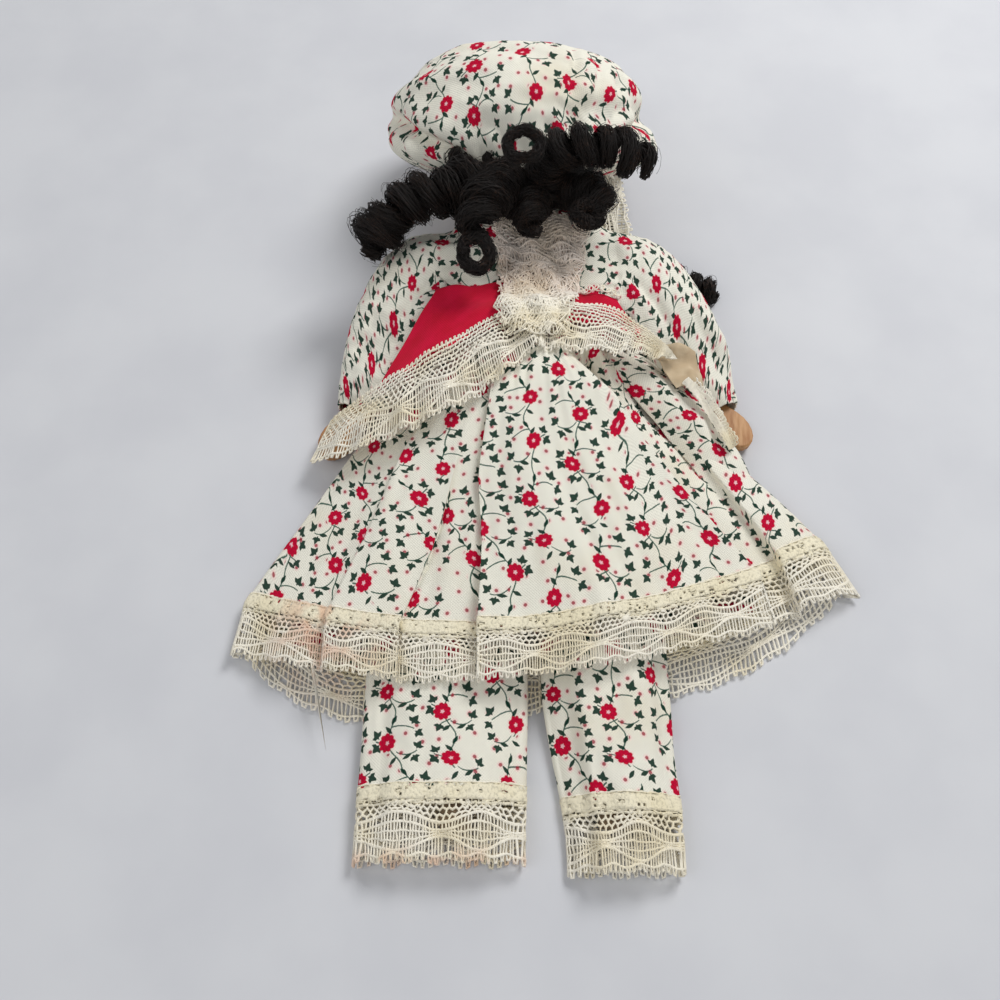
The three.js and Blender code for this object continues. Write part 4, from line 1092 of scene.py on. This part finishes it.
def makeShawl(word, corners, seed):
    soft = waves(seed, 6, 26, 9)

    def place(u, v):
        x, y = between(corners, u, v)
        y = y + 0.35 * np.sin(u * 9 + seed)
        return x, y, shawlTop(x, y) + 0.35 * soft(x, y) * (1 - hump(v, 0.1))
    bm = clothGrid(70, 40, place, up=True)
    obj = newObject("shawl_cloth_" + word, bm, redMaterial, "body")
    return standsFor(thicken(obj, 0.5), "shawl_" + word)


shawls = {
    "left": makeShawl("left", [(-28.6, 58.8), (-1.5, 63.6), (-1.5, 45), (-46.5, 26.5)], 71),
    "right": makeShawl("right", [(1.5, 61.5), (26.5, 55), (35, 43), (1.5, 44)], 72),
}


def makeWing(word, upper, lower, seed, length, width, lift, flip):
    soft = waves(seed, 5, 20, 8)

    def place(a, t):
        x, y = strip(upper, lower, a, t)
        z = shawlTop(x, y) + lift + 0.5 * soft(x, y)
        flare = np.maximum(t, 0) ** 1.2
        z = z + (1.1 * np.sin(a * 33 + 2 * np.sin(a * 9) + seed) + 0.5 * np.sin(a * 71)) * flare
        return x, y, np.maximum(z, 0.6)
    return layLace("lace_wing_" + word, length, width, seed, place, body="body", flip=flip, heading=False)


wings = {
    "left": makeWing("left", [(-1, 50), (-26, 34.5), (-61, 22)], [(3, 34.5), (-20, 3), (-67, 8.5)],
                     81, 92, 16, 0.9, -1),
    "right": makeWing("right", [(2, 50.5), (28, 54), (45, 38)], [(2, 32), (20, 31), (44, 37)],
                      82, 66, 15, 1.1, 1),
}


def makeSideLace():
    # the right wing's end runs on down the skirt's side to the hand
    def place(a, t):
        x, y = strip([(46.5, 30.5), (54, 22), (59.5, 10.5)], [(50, 33.5), (57.5, 25.5), (63, 13)], a, t)
        z = bow(18.6, 16, 12.4, a) + 0.7 * np.sin(a * 22) * np.maximum(t, 0) + 0.5 * np.sin(a * 9 + 5 * t)
        return x, y, z
    return layLace("side_lace", 30, 5, 84, place, flip=1, heading=False)


def strandsObject(name, strands, finish, body=None):
    # round strands, given as (points, radius) pairs, as one mesh
    curve = bpy.data.curves.new(name, "CURVE")
    curve.dimensions = "3D"
    curve.bevel_depth = mm
    curve.bevel_resolution = 0
    curve.use_fill_caps = True
    for points, radius in strands:
        spline = curve.splines.new("POLY")
        spline.points.add(len(points) - 1)
        spline.points.foreach_set("co", np.column_stack([points * mm, np.ones(len(points))]).ravel())
        spline.points.foreach_set("radius", np.broadcast_to(radius, len(points)).astype(float))
    holder = link(name + "_line", curve)
    mesh = bpy.data.meshes.new_from_object(holder)
    bpy.data.objects.remove(holder)
    bpy.data.curves.remove(curve)
    bm = bmesh.new()
    bm.from_mesh(mesh)
    bpy.data.meshes.remove(mesh)
    bmesh.ops.recalc_face_normals(bm, faces=bm.faces[:])
    print(name, 2 * len(bm.faces), "triangles")
    return newObject(name, bm, finish, body)


def edgeLoops():
    # frayed loops of lace thread along the upper edge of the shawl's right panel
    t = np.linspace(0, 1, 260)
    turn = 2 * math.pi * 15 * t + 0.8 * np.sin(11 * t)
    x, y = 2.5 + 24.5 * t + 0.95 * np.cos(turn), 62.3 - 6.2 * t + 1.0 * np.sin(turn) + 0.4 * np.sin(19 * t)
    z = shawlTop(x, y) + 0.9 + 0.3 * np.sin(turn * 0.5)
    return strandsObject("edge_loops", [(np.column_stack([x, y, z]), 0.24)], laceMaterial)


def makeJabot():
    # lace gathered down the middle of the back, in two layers, under a tangle of its own threads
    soft = waves(91, 7, 12, 4)

    def surface(x, y):
        z = mix(shawlTop(x, y) + 2.0, bodyZ(y) + backCover + 1.2, smooth((y - 61) / 8))
        return z + 0.6 * np.sin(0.7 * x + 0.25 * y) + 0.5 * soft(x, y)

    def layer(name, corners, length, width, seed, lift):
        def place(a, t):
            x, y = between(corners, a, t)
            wavyX = x + 1.1 * np.sin(0.55 * y + seed) + 0.5 * np.sin(1.3 * y)
            wavyY = y + 0.9 * np.sin(0.6 * x + seed)
            return wavyX, wavyY, surface(wavyX, wavyY) + lift
        return layLace(name, length, width, seed, place, flip=-1, heading=False)
    obj = layer("jabot_lace", [(-9.5, 86), (-6, 38), (9.5, 38), (19.5, 86)], 52, 24, 91, 0.2)
    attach(obj, "body")
    draw = random.Random(92)
    threads = []
    for _ in range(620):
        v = draw.random()
        u = draw.uniform(-0.02, 1.02)
        cx, cy = mix(mix(-9.5, 19.5, u), mix(-6, 9.5, u), v), mix(86.5, 38, v)
        turn = draw.choice((0.9, 2.2, 1.57)) + draw.uniform(-0.35, 0.35)
        t = np.linspace(-1, 1, 9) * draw.uniform(2.5, 6.5)
        bend = draw.uniform(-0.06, 0.06) * t * t
        x = cx + t * math.cos(turn) - bend * math.sin(turn)
        y = cy + t * math.sin(turn) + bend * math.cos(turn)
        middle, half = mix(5, 1.75, (86.5 - y) / 48), mix(15.5, 8.75, (86.5 - y) / 48)
        past = (x - middle) / half
        x = middle + half * (np.clip(past, -1, 1) + 0.3 * (past - np.clip(past, -1, 1)))
        y = np.clip(y, 36.5, 87.5)
        z = surface(x, y) + draw.uniform(0.4, 1.1) + 0.2 * np.sin(t * 1.3 + cx)
        threads.append((np.column_stack([x, y, z]), draw.uniform(0.13, 0.22)))
    joinObjects(obj, layer("jabot_top", [(-9, 86), (20, 84), (15, 64), (-10, 69)], 30, 19, 95, 0.8),
                layer("jabot_low", [(-7, 60), (14, 57), (8, 37), (-11, 42)], 22, 17, 97, 0.6))
    loose = joinObjects(strandsObject("lace_threads", threads, laceMaterial, "body"), edgeLoops())
    return standsFor(obj, "jabot")


wings["right"] = joinObjects(wings["right"], makeSideLace())
for word, obj in wings.items():
    standsFor(obj, "shawl_lace_" + word)
jabot = makeJabot()


def makeCollar():
    bodyUp = (0, math.cos(bodyTilt), math.sin(bodyTilt))
    bodyOut = (0, -math.sin(bodyTilt), math.cos(bodyTilt))

    def place(a, t):
        turn = 2 * math.pi * a
        ripple = 1 + 0.06 * t * np.cos(11 * turn)
        # it stands up at the right of the neck, as high as the cap
        stand = hump(np.sin(turn / 2 - 0.2), 0.36) * t
        rx, rz = mix(9.5, 21, t) * ripple + 11.5 * stand, mix(7, 10.3, t)
        up = 93 + 1.6 * t + 0.4 * np.sin(11 * turn) * t + 13 * stand
        across, out = rx * np.cos(turn), rz * np.sin(turn) + 2 * stand
        return across, hipY + bodyUp[1] * up + bodyOut[1] * out, hipZ + bodyUp[2] * up + bodyOut[2] * out
    obj = layLace("collar_lace", 84, 13, 101, place, lift=0.1, heading=False)

    def side(lift):
        def place(a, t):
            x, y = between([(20, 110), (31.5, 110), (34.5, 82), (20, 82)], t, a)
            return x, y, 26.5 + lift - 6 * a * a + 1.0 * np.sin(2.5 * t + 6 * a + lift)
        return place
    for k in (0, 1):
        joinObjects(obj, layLace("collar_side", 28, 13, 102 + k, side(-0.9 * k), flip=-1, heading=k == 1))
    return standsFor(obj, "collar_frill")


collar = makeCollar()


print("hair")


def makeHair():
    made, w, shader = material("darkHair")
    where = w.space()
    streak = w.noise(where, 1500.0, 2.0)
    tone = w.spread(streak, 0.4, 0.75) * w.spread(w.noise(where, 170.0, 3.0), 0.42, 0.75, 0.1, 1.0)
    w.coat(shader, w.blend(tone, linear(13, 9, 7), linear(62, 43, 32)), 0.6, streak,
           **{"Specular IOR Level": 0.16, "Sheen Weight": 0.03})
    return made


hairMaterial = makeHair()

ringlets = {
    "left": {"root": (-9, 149.4), "coil": 4.6, "strand": 2.9, "pitch": 6.7, "seed": 1,
             "at": [(-22, -28.4, 21), (-37, -26.4, 18.4), (-52, -41.4, 6)]},
    "middle": {"root": (-5, 149), "coil": 4, "strand": 2.7, "pitch": 6.3, "seed": 2,
               "at": [(-8, -30.8, 25.7), (-15, -38.8, 26.7), (-15.5, -48, 21.5)],
               "ring": ((-16.1, 60.4, 42.5), 4.3, 1.7)},
    "short": {"root": (-0.8, 149.5), "coil": 2.8, "strand": 2.2, "pitch": 5.4, "seed": 3,
              "at": [(0, -32.4, 16.7), (1, -36.4, 19.7), (0, -44.4, 17.7)]},
    "right": {"root": (8, 148.6), "coil": 3.9, "strand": 2.7, "pitch": 5.8, "seed": 4,
              "at": [(16, -28.4, 16), (20, -29.4, 20), (22, -36.5, 18.4)],
              "ring": ((17.6, 74, 44.5), 3.1, 2.1)},
    "over_cap": {"root": (3.6, 150), "coil": 4.0, "strand": 2.3, "pitch": 6.3, "seed": 5,
                 "at": [(6, -26.8, 37.7), (20, -23.6, 35.9), (35, -27.4, 27)],
                 "ring": ((-2.1, 84.5, 61.5), 4.5, 1.4)},
    "front": {"root": (17.6, 222), "coil": 2.3, "strand": 1.9, "pitch": 5.0, "seed": 6,
              "at": [(26, -17.4, -18.8), (44, -25.4, -20.1), (64, -38.4, -20.1)]},
}
lock = {"fibres": 66, "thick": (0.11, 0.25), "frizz": 290, "steps": 18, "wigReach": 51, "wigStrands": 170}


def unit(vectors):
    return vectors / np.maximum(np.linalg.norm(vectors, axis=-1, keepdims=True), 1e-9)


def frameAlong(line):
    # two directions square to the line at every point, which don't twist round it
    ahead = unit(np.gradient(line, axis=0))
    side = np.empty_like(line)
    last = np.array((0.21, 0.1, 0.97))
    for i, a in enumerate(ahead):
        last = last - last.dot(a) * a
        last = last / np.linalg.norm(last)
        side[i] = last
    return side, np.cross(ahead, side)


def windingPath(knots, coil, pitch, seed, first=0.0, steps=lock["steps"]):
    # the middle of a lock that winds round an axis, from its root to its tip
    t = np.linspace(0, 1, 300)[:, None]
    shares = (1 - t) ** 3, 3 * t * (1 - t) ** 2, 3 * t * t * (1 - t), t ** 3
    axis = sum(share * knot for share, knot in zip(shares, knots))
    along = np.concatenate([[0], np.cumsum(np.linalg.norm(np.diff(axis, axis=0), axis=1))])
    turns = along[-1] / pitch
    count = max(12, int(turns * steps))
    at = np.linspace(0, along[-1], count)
    axis = np.stack([np.interp(at, along, axis[:, k]) for k in range(3)], 1)
    side, up = frameAlong(axis)
    a = np.linspace(0, turns * 2 * math.pi, count)
    loose = 1 + 0.13 * np.sin(a * 0.43 + seed * 2) + 0.09 * np.sin(a * 1.3 + seed)
    drift = 0.6 * np.sin(a[:, None] * np.array((0.31, 0.37, 0.29)) + seed + np.array((0, 2, 4)))
    a = a + 0.35 * np.sin(a * 0.6 + seed) + first
    radius = (coil * loose * smooth(np.arange(count) / (1.3 * steps)))[:, None]
    drift = drift * smooth(np.arange(count) / 20)[:, None]
    return axis + drift + (np.cos(a)[:, None] * side + np.sin(a)[:, None] * up) * radius


def lockStrands(line, width, seed, fibres, frizz):
    # a lock's fibres, as (points, radius) pairs: a dark core, fibres that wander over it and many that stray
    draw = random.Random(seed * 7 + 1)
    side, up = frameAlong(line)
    t = np.linspace(0, 1, len(line))
    taper = mix(0.45, 1, smooth(t / 0.2)) * mix(0.5, 1, smooth((1 - t) / 0.05))
    strands = [(line, width * 0.8 * taper)]

    def wander(slow, fast, t):
        return np.sin(draw.uniform(slow, fast) * t + draw.uniform(0, 6))

    def turned(a, part=slice(None)):
        return np.cos(a)[:, None] * side[part] + np.sin(a)[:, None] * up[part]
    for _ in range(fibres):
        a = draw.uniform(0, 2 * math.pi) + draw.uniform(0.4, 1.6) * wander(10, 34, t)
        reach = width * taper * (draw.uniform(0.74, 1.06) + 0.15 * wander(12, 60, t))
        points = line + turned(a) * reach[:, None]
        wave = np.arange(len(t))[:, None] * draw.uniform(1.1, 2.0)
        wave = wave + np.array([draw.uniform(0, 6) for _ in range(3)])
        points = points + draw.uniform(0.15, 0.42) * np.sin(wave)
        low, high = int(len(t) * draw.uniform(0, 0.1)), len(t) - int(len(t) * draw.uniform(0, 0.04))
        strands.append((points[low:high], draw.uniform(*lock["thick"])))
    for _ in range(frizz):
        count = min(len(t) - 1, draw.randrange(7, 20))
        low = draw.randrange(0, len(t) - count)
        part = slice(low, low + count)
        s = np.linspace(0, 1, count)
        a = draw.uniform(0, 2 * math.pi) + draw.uniform(-2.5, 2.5) * s
        reach = width * (0.95 + draw.uniform(0.08, 0.75) * np.sin(math.pi * s * draw.uniform(0.5, 1.0)))
        points = line[part] + turned(a, part) * reach[:, None]
        strands.append((points, draw.uniform(0.04, 0.09)))
    return strands


def ringPath(centre, radius, seed):
    # the lock's last turn, seen end on from above the doll's feet
    a = np.linspace(0, 2 * math.pi * 1.2, 46)[:, None]
    across, up, out = np.array((1, 0, 0)), np.array((0, 0.883, 0.47)), np.array((0, -0.47, 0.883))
    reach = radius * (1 + 0.07 * np.sin(2 * a + seed) + 0.04 * np.sin(5 * a))
    ring = (np.cos(a + seed) * across + np.sin(a + seed) * up) * reach
    return np.array(centre) + ring + out * (a - 4) * 0.28


def hairObject(name, strands, node=None, body=None):
    for points, _ in strands:  # nothing lies under the floor
        points[:, 2] = np.maximum(points[:, 2], 0.3)
    obj = strandsObject(name, strands, hairMaterial, body)
    if node:
        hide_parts(node)
    return obj


def onHead(x, angle, reach):
    # a point on the back of the head, by its x and its angle from the crown towards the nape
    deep = math.sqrt(reach * reach - x * x)
    return np.array((x, deep * math.cos(math.radians(angle)), deep * math.sin(math.radians(angle))))


def makeRinglet(name, curl):
    x, angle = curl["root"]
    knots = [onHead(x, angle, 23.1 if angle < 200 else 20.5)] + [np.array(p) for p in curl["at"]]
    knots = [k + np.array(headCentre) for k in knots]
    line = windingPath(knots, curl["coil"], curl["pitch"], curl["seed"])
    strands = lockStrands(line, curl["strand"], curl["seed"], lock["fibres"], lock["frizz"])
    if "ring" in curl:
        centre, radius, width = curl["ring"]
        strands += lockStrands(ringPath(centre, radius, curl["seed"]), width, curl["seed"] + 50, 44, 70)
    return hairObject("curl_" + name, strands, "ringlet_" + name)


def makeNape():
    # a matted mass of short curls over the nape, between and under the ringlets
    draw = random.Random(12)
    strands = []
    spots = []
    for y, z, low, high, count in ((102, 41, -25, 21, 9), (93, 39.5, -27, 19, 8), (84.5, 37.5, -31, 9, 7)):
        spots += [(mix(low, high, (k + 0.5) / count) + draw.uniform(-1.5, 1.5), y + draw.uniform(-2, 2),
                   z + draw.uniform(-1.5, 1.5)) for k in range(count)]
    for k, spot in enumerate(spots):
        tip = np.array(spot)
        root = onHead(max(-17, min(15, spot[0] * 0.75)), draw.uniform(139, 149), 22.4) + np.array(headCentre)
        bend = mix(root, tip, 0.3) + np.array((draw.uniform(-2, 2), draw.uniform(-1, 2), 3))
        far = mix(root, tip, 0.75) + np.array((draw.uniform(-2, 2), draw.uniform(-4, -1), -1.5))
        coil, thick = draw.uniform(2.3, 3.4), draw.uniform(1.7, 2.2)
        line = windingPath((root, bend, far, tip), coil, draw.uniform(4.0, 5.0), k, draw.uniform(0, 6), 13)
        strands += lockStrands(line, thick, 40 + k, 13, 16)
    return hairObject("nape_curls", strands)


curls = {name: makeRinglet(name, curl) for name, curl in ringlets.items()}


def makeWig():
    # combed strands from the crown to the nape, under the printed cap
    draw = random.Random(77)
    tilt = math.radians(14)
    pole, east = np.array((0, -math.sin(tilt), math.cos(tilt))), np.array((1.0, 0, 0))
    north = np.cross(pole, east)
    strands = []
    for k in range(lock["wigStrands"]):
        t = np.linspace(0, 1, 18)
        reach = math.radians(lock["wigReach"]) * (0.04 + 0.96 * t)
        turn = 2 * math.pi * (k + draw.uniform(-0.3, 0.3)) / lock["wigStrands"]
        turn = turn + draw.uniform(-0.25, 0.25) * t * t
        turn = (turn + 0.05 * np.sin(9 * t + k))[:, None]
        out = (east * np.cos(turn) + north * np.sin(turn)) * np.sin(reach)[:, None]
        out = out + pole * np.cos(reach)[:, None]
        points = np.array(headCentre) + out * (21.9 + 0.3 * np.sin(5 * t + k) - 0.9 * t ** 6)[:, None]
        strands.append((points, draw.uniform(0.75, 1.05) * (1 - 0.3 * t)))
    hairObject("wig_hair", strands, "wig", "head")


makeWig()
nape = makeNape()


print("wood")


def makeWood(name, along, light, dark, painted=False):
    made, w, shader = material(name)
    where = w.space()
    stretch = tuple(90.0 if k == along else 900.0 for k in "xyz")
    grain = w.noise(w.vector("MULTIPLY", where, stretch), 1.0, 4.0, 0.6)
    rings = w.noise(w.vector("MULTIPLY", where, tuple(k * 0.25 for k in stretch)), 1.0, 2.0)
    colour = w.blend(w.spread(grain * 0.6 + rings * 0.5, 0.38, 0.72), linear(*light), linear(*dark))
    if painted:
        colour = paintFace(w, where, colour)
    w.coat(shader, colour, w.spread(grain, 0.3, 0.7, 0.42, 0.6), grain, 0.25)
    return made


def paintFace(w, where, colour):
    # a simple painted doll's face on the side that lies down: eyes with a painted highlight dot in each,
    # brows, a small mouth and rosy cheeks
    away = w.vector("SUBTRACT", where, tuple(k * mm for k in headCentre))
    turned = w.turn(away, -bodyTilt, "X_AXIS")
    x, up, out = w.split(w.scale(turned, 1000.0))
    front = out < 0.0
    across = abs(x)

    def spot(cx, cy, rx, ry, soft):
        dx, dy = (across - cx) / rx, (up - cy) / ry
        return w.spread(w.math("SQRT", dx * dx + dy * dy), 1 + soft, 1 - soft) * front
    smile = w.spread(abs(up - (-7.4 + x * x * 0.09)), 0.55, 0.3) * ((across < 2.9) * front)
    away = abs(across - 6.2)
    brow = w.spread(abs(up - (5.6 - (across - 6.2) ** 2.0 * 0.11)), 0.42, 0.2) * ((away < 2.3) * front)
    paints = [(spot(9.2, -4.6, 3.4, 3.0, 0.6) * 0.5, (214, 120, 100)),
              (spot(6.2, 1.2, 1.7, 2.2, 0.08), (238, 234, 226)),
              (spot(6.1, 1.0, 1.2, 1.6, 0.1), (64, 44, 32)),
              # a white dot in each eye: a painted highlight
              (spot(5.6, 1.7, 0.38, 0.42, 0.2), (244, 242, 238)),
              (brow, (70, 46, 30)), (smile, (176, 52, 54))]
    for ink, paint in paints:
        colour = w.blend(ink, colour, linear(*paint))
    return colour


handWood = makeWood("slatWood", "y", (196, 148, 96), (160, 108, 62))
headWood = makeWood("headWood", "y", (222, 184, 138), (204, 160, 112), painted=True)
bodyWood = makeWood("bodyWood", "y", (214, 176, 128), (186, 138, 88))
# the legs' wood is coloured darker and greyer than the rest so that, seen through the cuff lace, it reads as
# the shade inside the cuffs: painted shade
shadedLegWood = makeWood("shadedLegWood", "y", (150, 128, 98), (118, 96, 70))
dowelWood = makeWood("dowelWood", "x", (214, 176, 128), (186, 138, 88))


def makeBrass():
    made, w, shader = material("brassPin")
    wear = w.noise(w.space(), 900.0, 3.0)
    colour = w.blend(w.spread(wear, 0.35, 0.7), linear(190, 152, 84), linear(150, 112, 56))
    w.coat(shader, colour, w.spread(wear, 0.3, 0.7, 0.28, 0.5), Metallic=1.0)
    return made


brass = makeBrass()
finishes = {"torso": bodyWood, "neck_dowel": bodyWood, "head": headWood, "arm_left": handWood,
            "arm_right": handWood, "leg_left": shadedLegWood, "leg_right": shadedLegWood, "hip_dowel": dowelWood,
            "shoulder_pin_left": brass, "shoulder_pin_right": brass}
for name, finish in finishes.items():
    for held in nodes[name].material_slots:
        held.material = finish


def makeSeat():
    rumple = waves(111, 6, 18, 7)

    def place(u, v):
        y = mix(43.2, -8.3, v)
        half = 6 * v ** 4 + mix(19.8, 25.6, smooth(v / 0.6))
        top = mix(bodyZ(y) + 7.25 + 2.2 * (0.2 + 0.6 * v), 16.4, smooth((v - 0.5) / 0.5))
        low = mix(bodyZ(y) - 7.75, 1.3, smooth(v / 0.7))
        x, z = tube(u, half, low, top, 0.6, 0.6)
        return x, y, np.maximum(z + 0.15 * rumple(x, y), 0.4)
    obj = newObject("seat_cloth", clothGrid(110, 44, place, closed=True), calicoMaterial)
    return standsFor(thicken(obj, 0.4), "pantaloon_seat")


seat = makeSeat()


print("studio")
studio = {
    "lens": 36, "place": (-0.009, -0.14356, 0.270), "aim": (-0.009, 0, 0),
    # each lamp: its name, place, size and power
    "lamps": [("key", (0.45, 0.5, 0.75), 0.4, 6.5), ("fill", (-0.8, -0.3, 0.8), 0.8, 2.6),
              ("front", (0.1, -0.9, 0.5), 0.8, 1.6)],
}


def aimed(name, data, place, aim=(0, 0, 0)):
    obj = link(name, data)
    obj.location = place
    obj.rotation_euler = (Vector(aim) - Vector(place)).to_track_quat("-Z", "Y").to_euler()
    return obj


def makeStudio():
    camera = bpy.data.cameras.new("camera")
    camera.sensor_fit = "HORIZONTAL"
    camera.sensor_width = 36
    camera.lens = studio["lens"]
    camera.clip_start = 0.01
    bpy.context.scene.camera = aimed("camera", camera, studio["place"], studio["aim"])
    for name, spot, size, power in studio["lamps"]:
        lamp = bpy.data.lights.new(name, "AREA")
        lamp.energy, lamp.size = power, size
        aimed(name, lamp, spot)
    world = bpy.data.worlds.new("room")
    bpy.context.scene.world = world
    world.use_nodes = True
    w = Wiring(world.node_tree)
    path = w.node("LightPath").outputs
    seen = w.math("MAXIMUM", path["Is Camera Ray"], path["Is Glossy Ray"])
    sky = w.blend(seen, (0.55, 0.56, 0.58, 1), linear(226, 227, 230))
    w.fill(world.node_tree.nodes["Background"], {"Color": sky, "Strength": 0.55 + seen * 0.45})
    bm = bmesh.new()
    bmesh.ops.create_grid(bm, x_segments=4, y_segments=4, size=2.5)
    surface, w, shader = material("paleFloor")
    tone = w.spread(w.noise(w.space(), 22.0, 4.0), 0.3, 0.7)
    w.coat(shader, w.blend(tone, linear(205, 206, 210), linear(212, 213, 216)), 0.9)
    newObject("floor", bm, surface)
    bpy.context.scene.view_settings.view_transform = "Standard"


makeStudio()

for obj in (skirtObject, hemLace):
    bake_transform(obj)
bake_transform(seat)
for side, word in ((-1, "left"), (1, "right")):
    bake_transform(sleeves[side])
for name, curl in ringlets.items():
    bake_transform(curls[name])
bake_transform(collar)
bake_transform(nape)
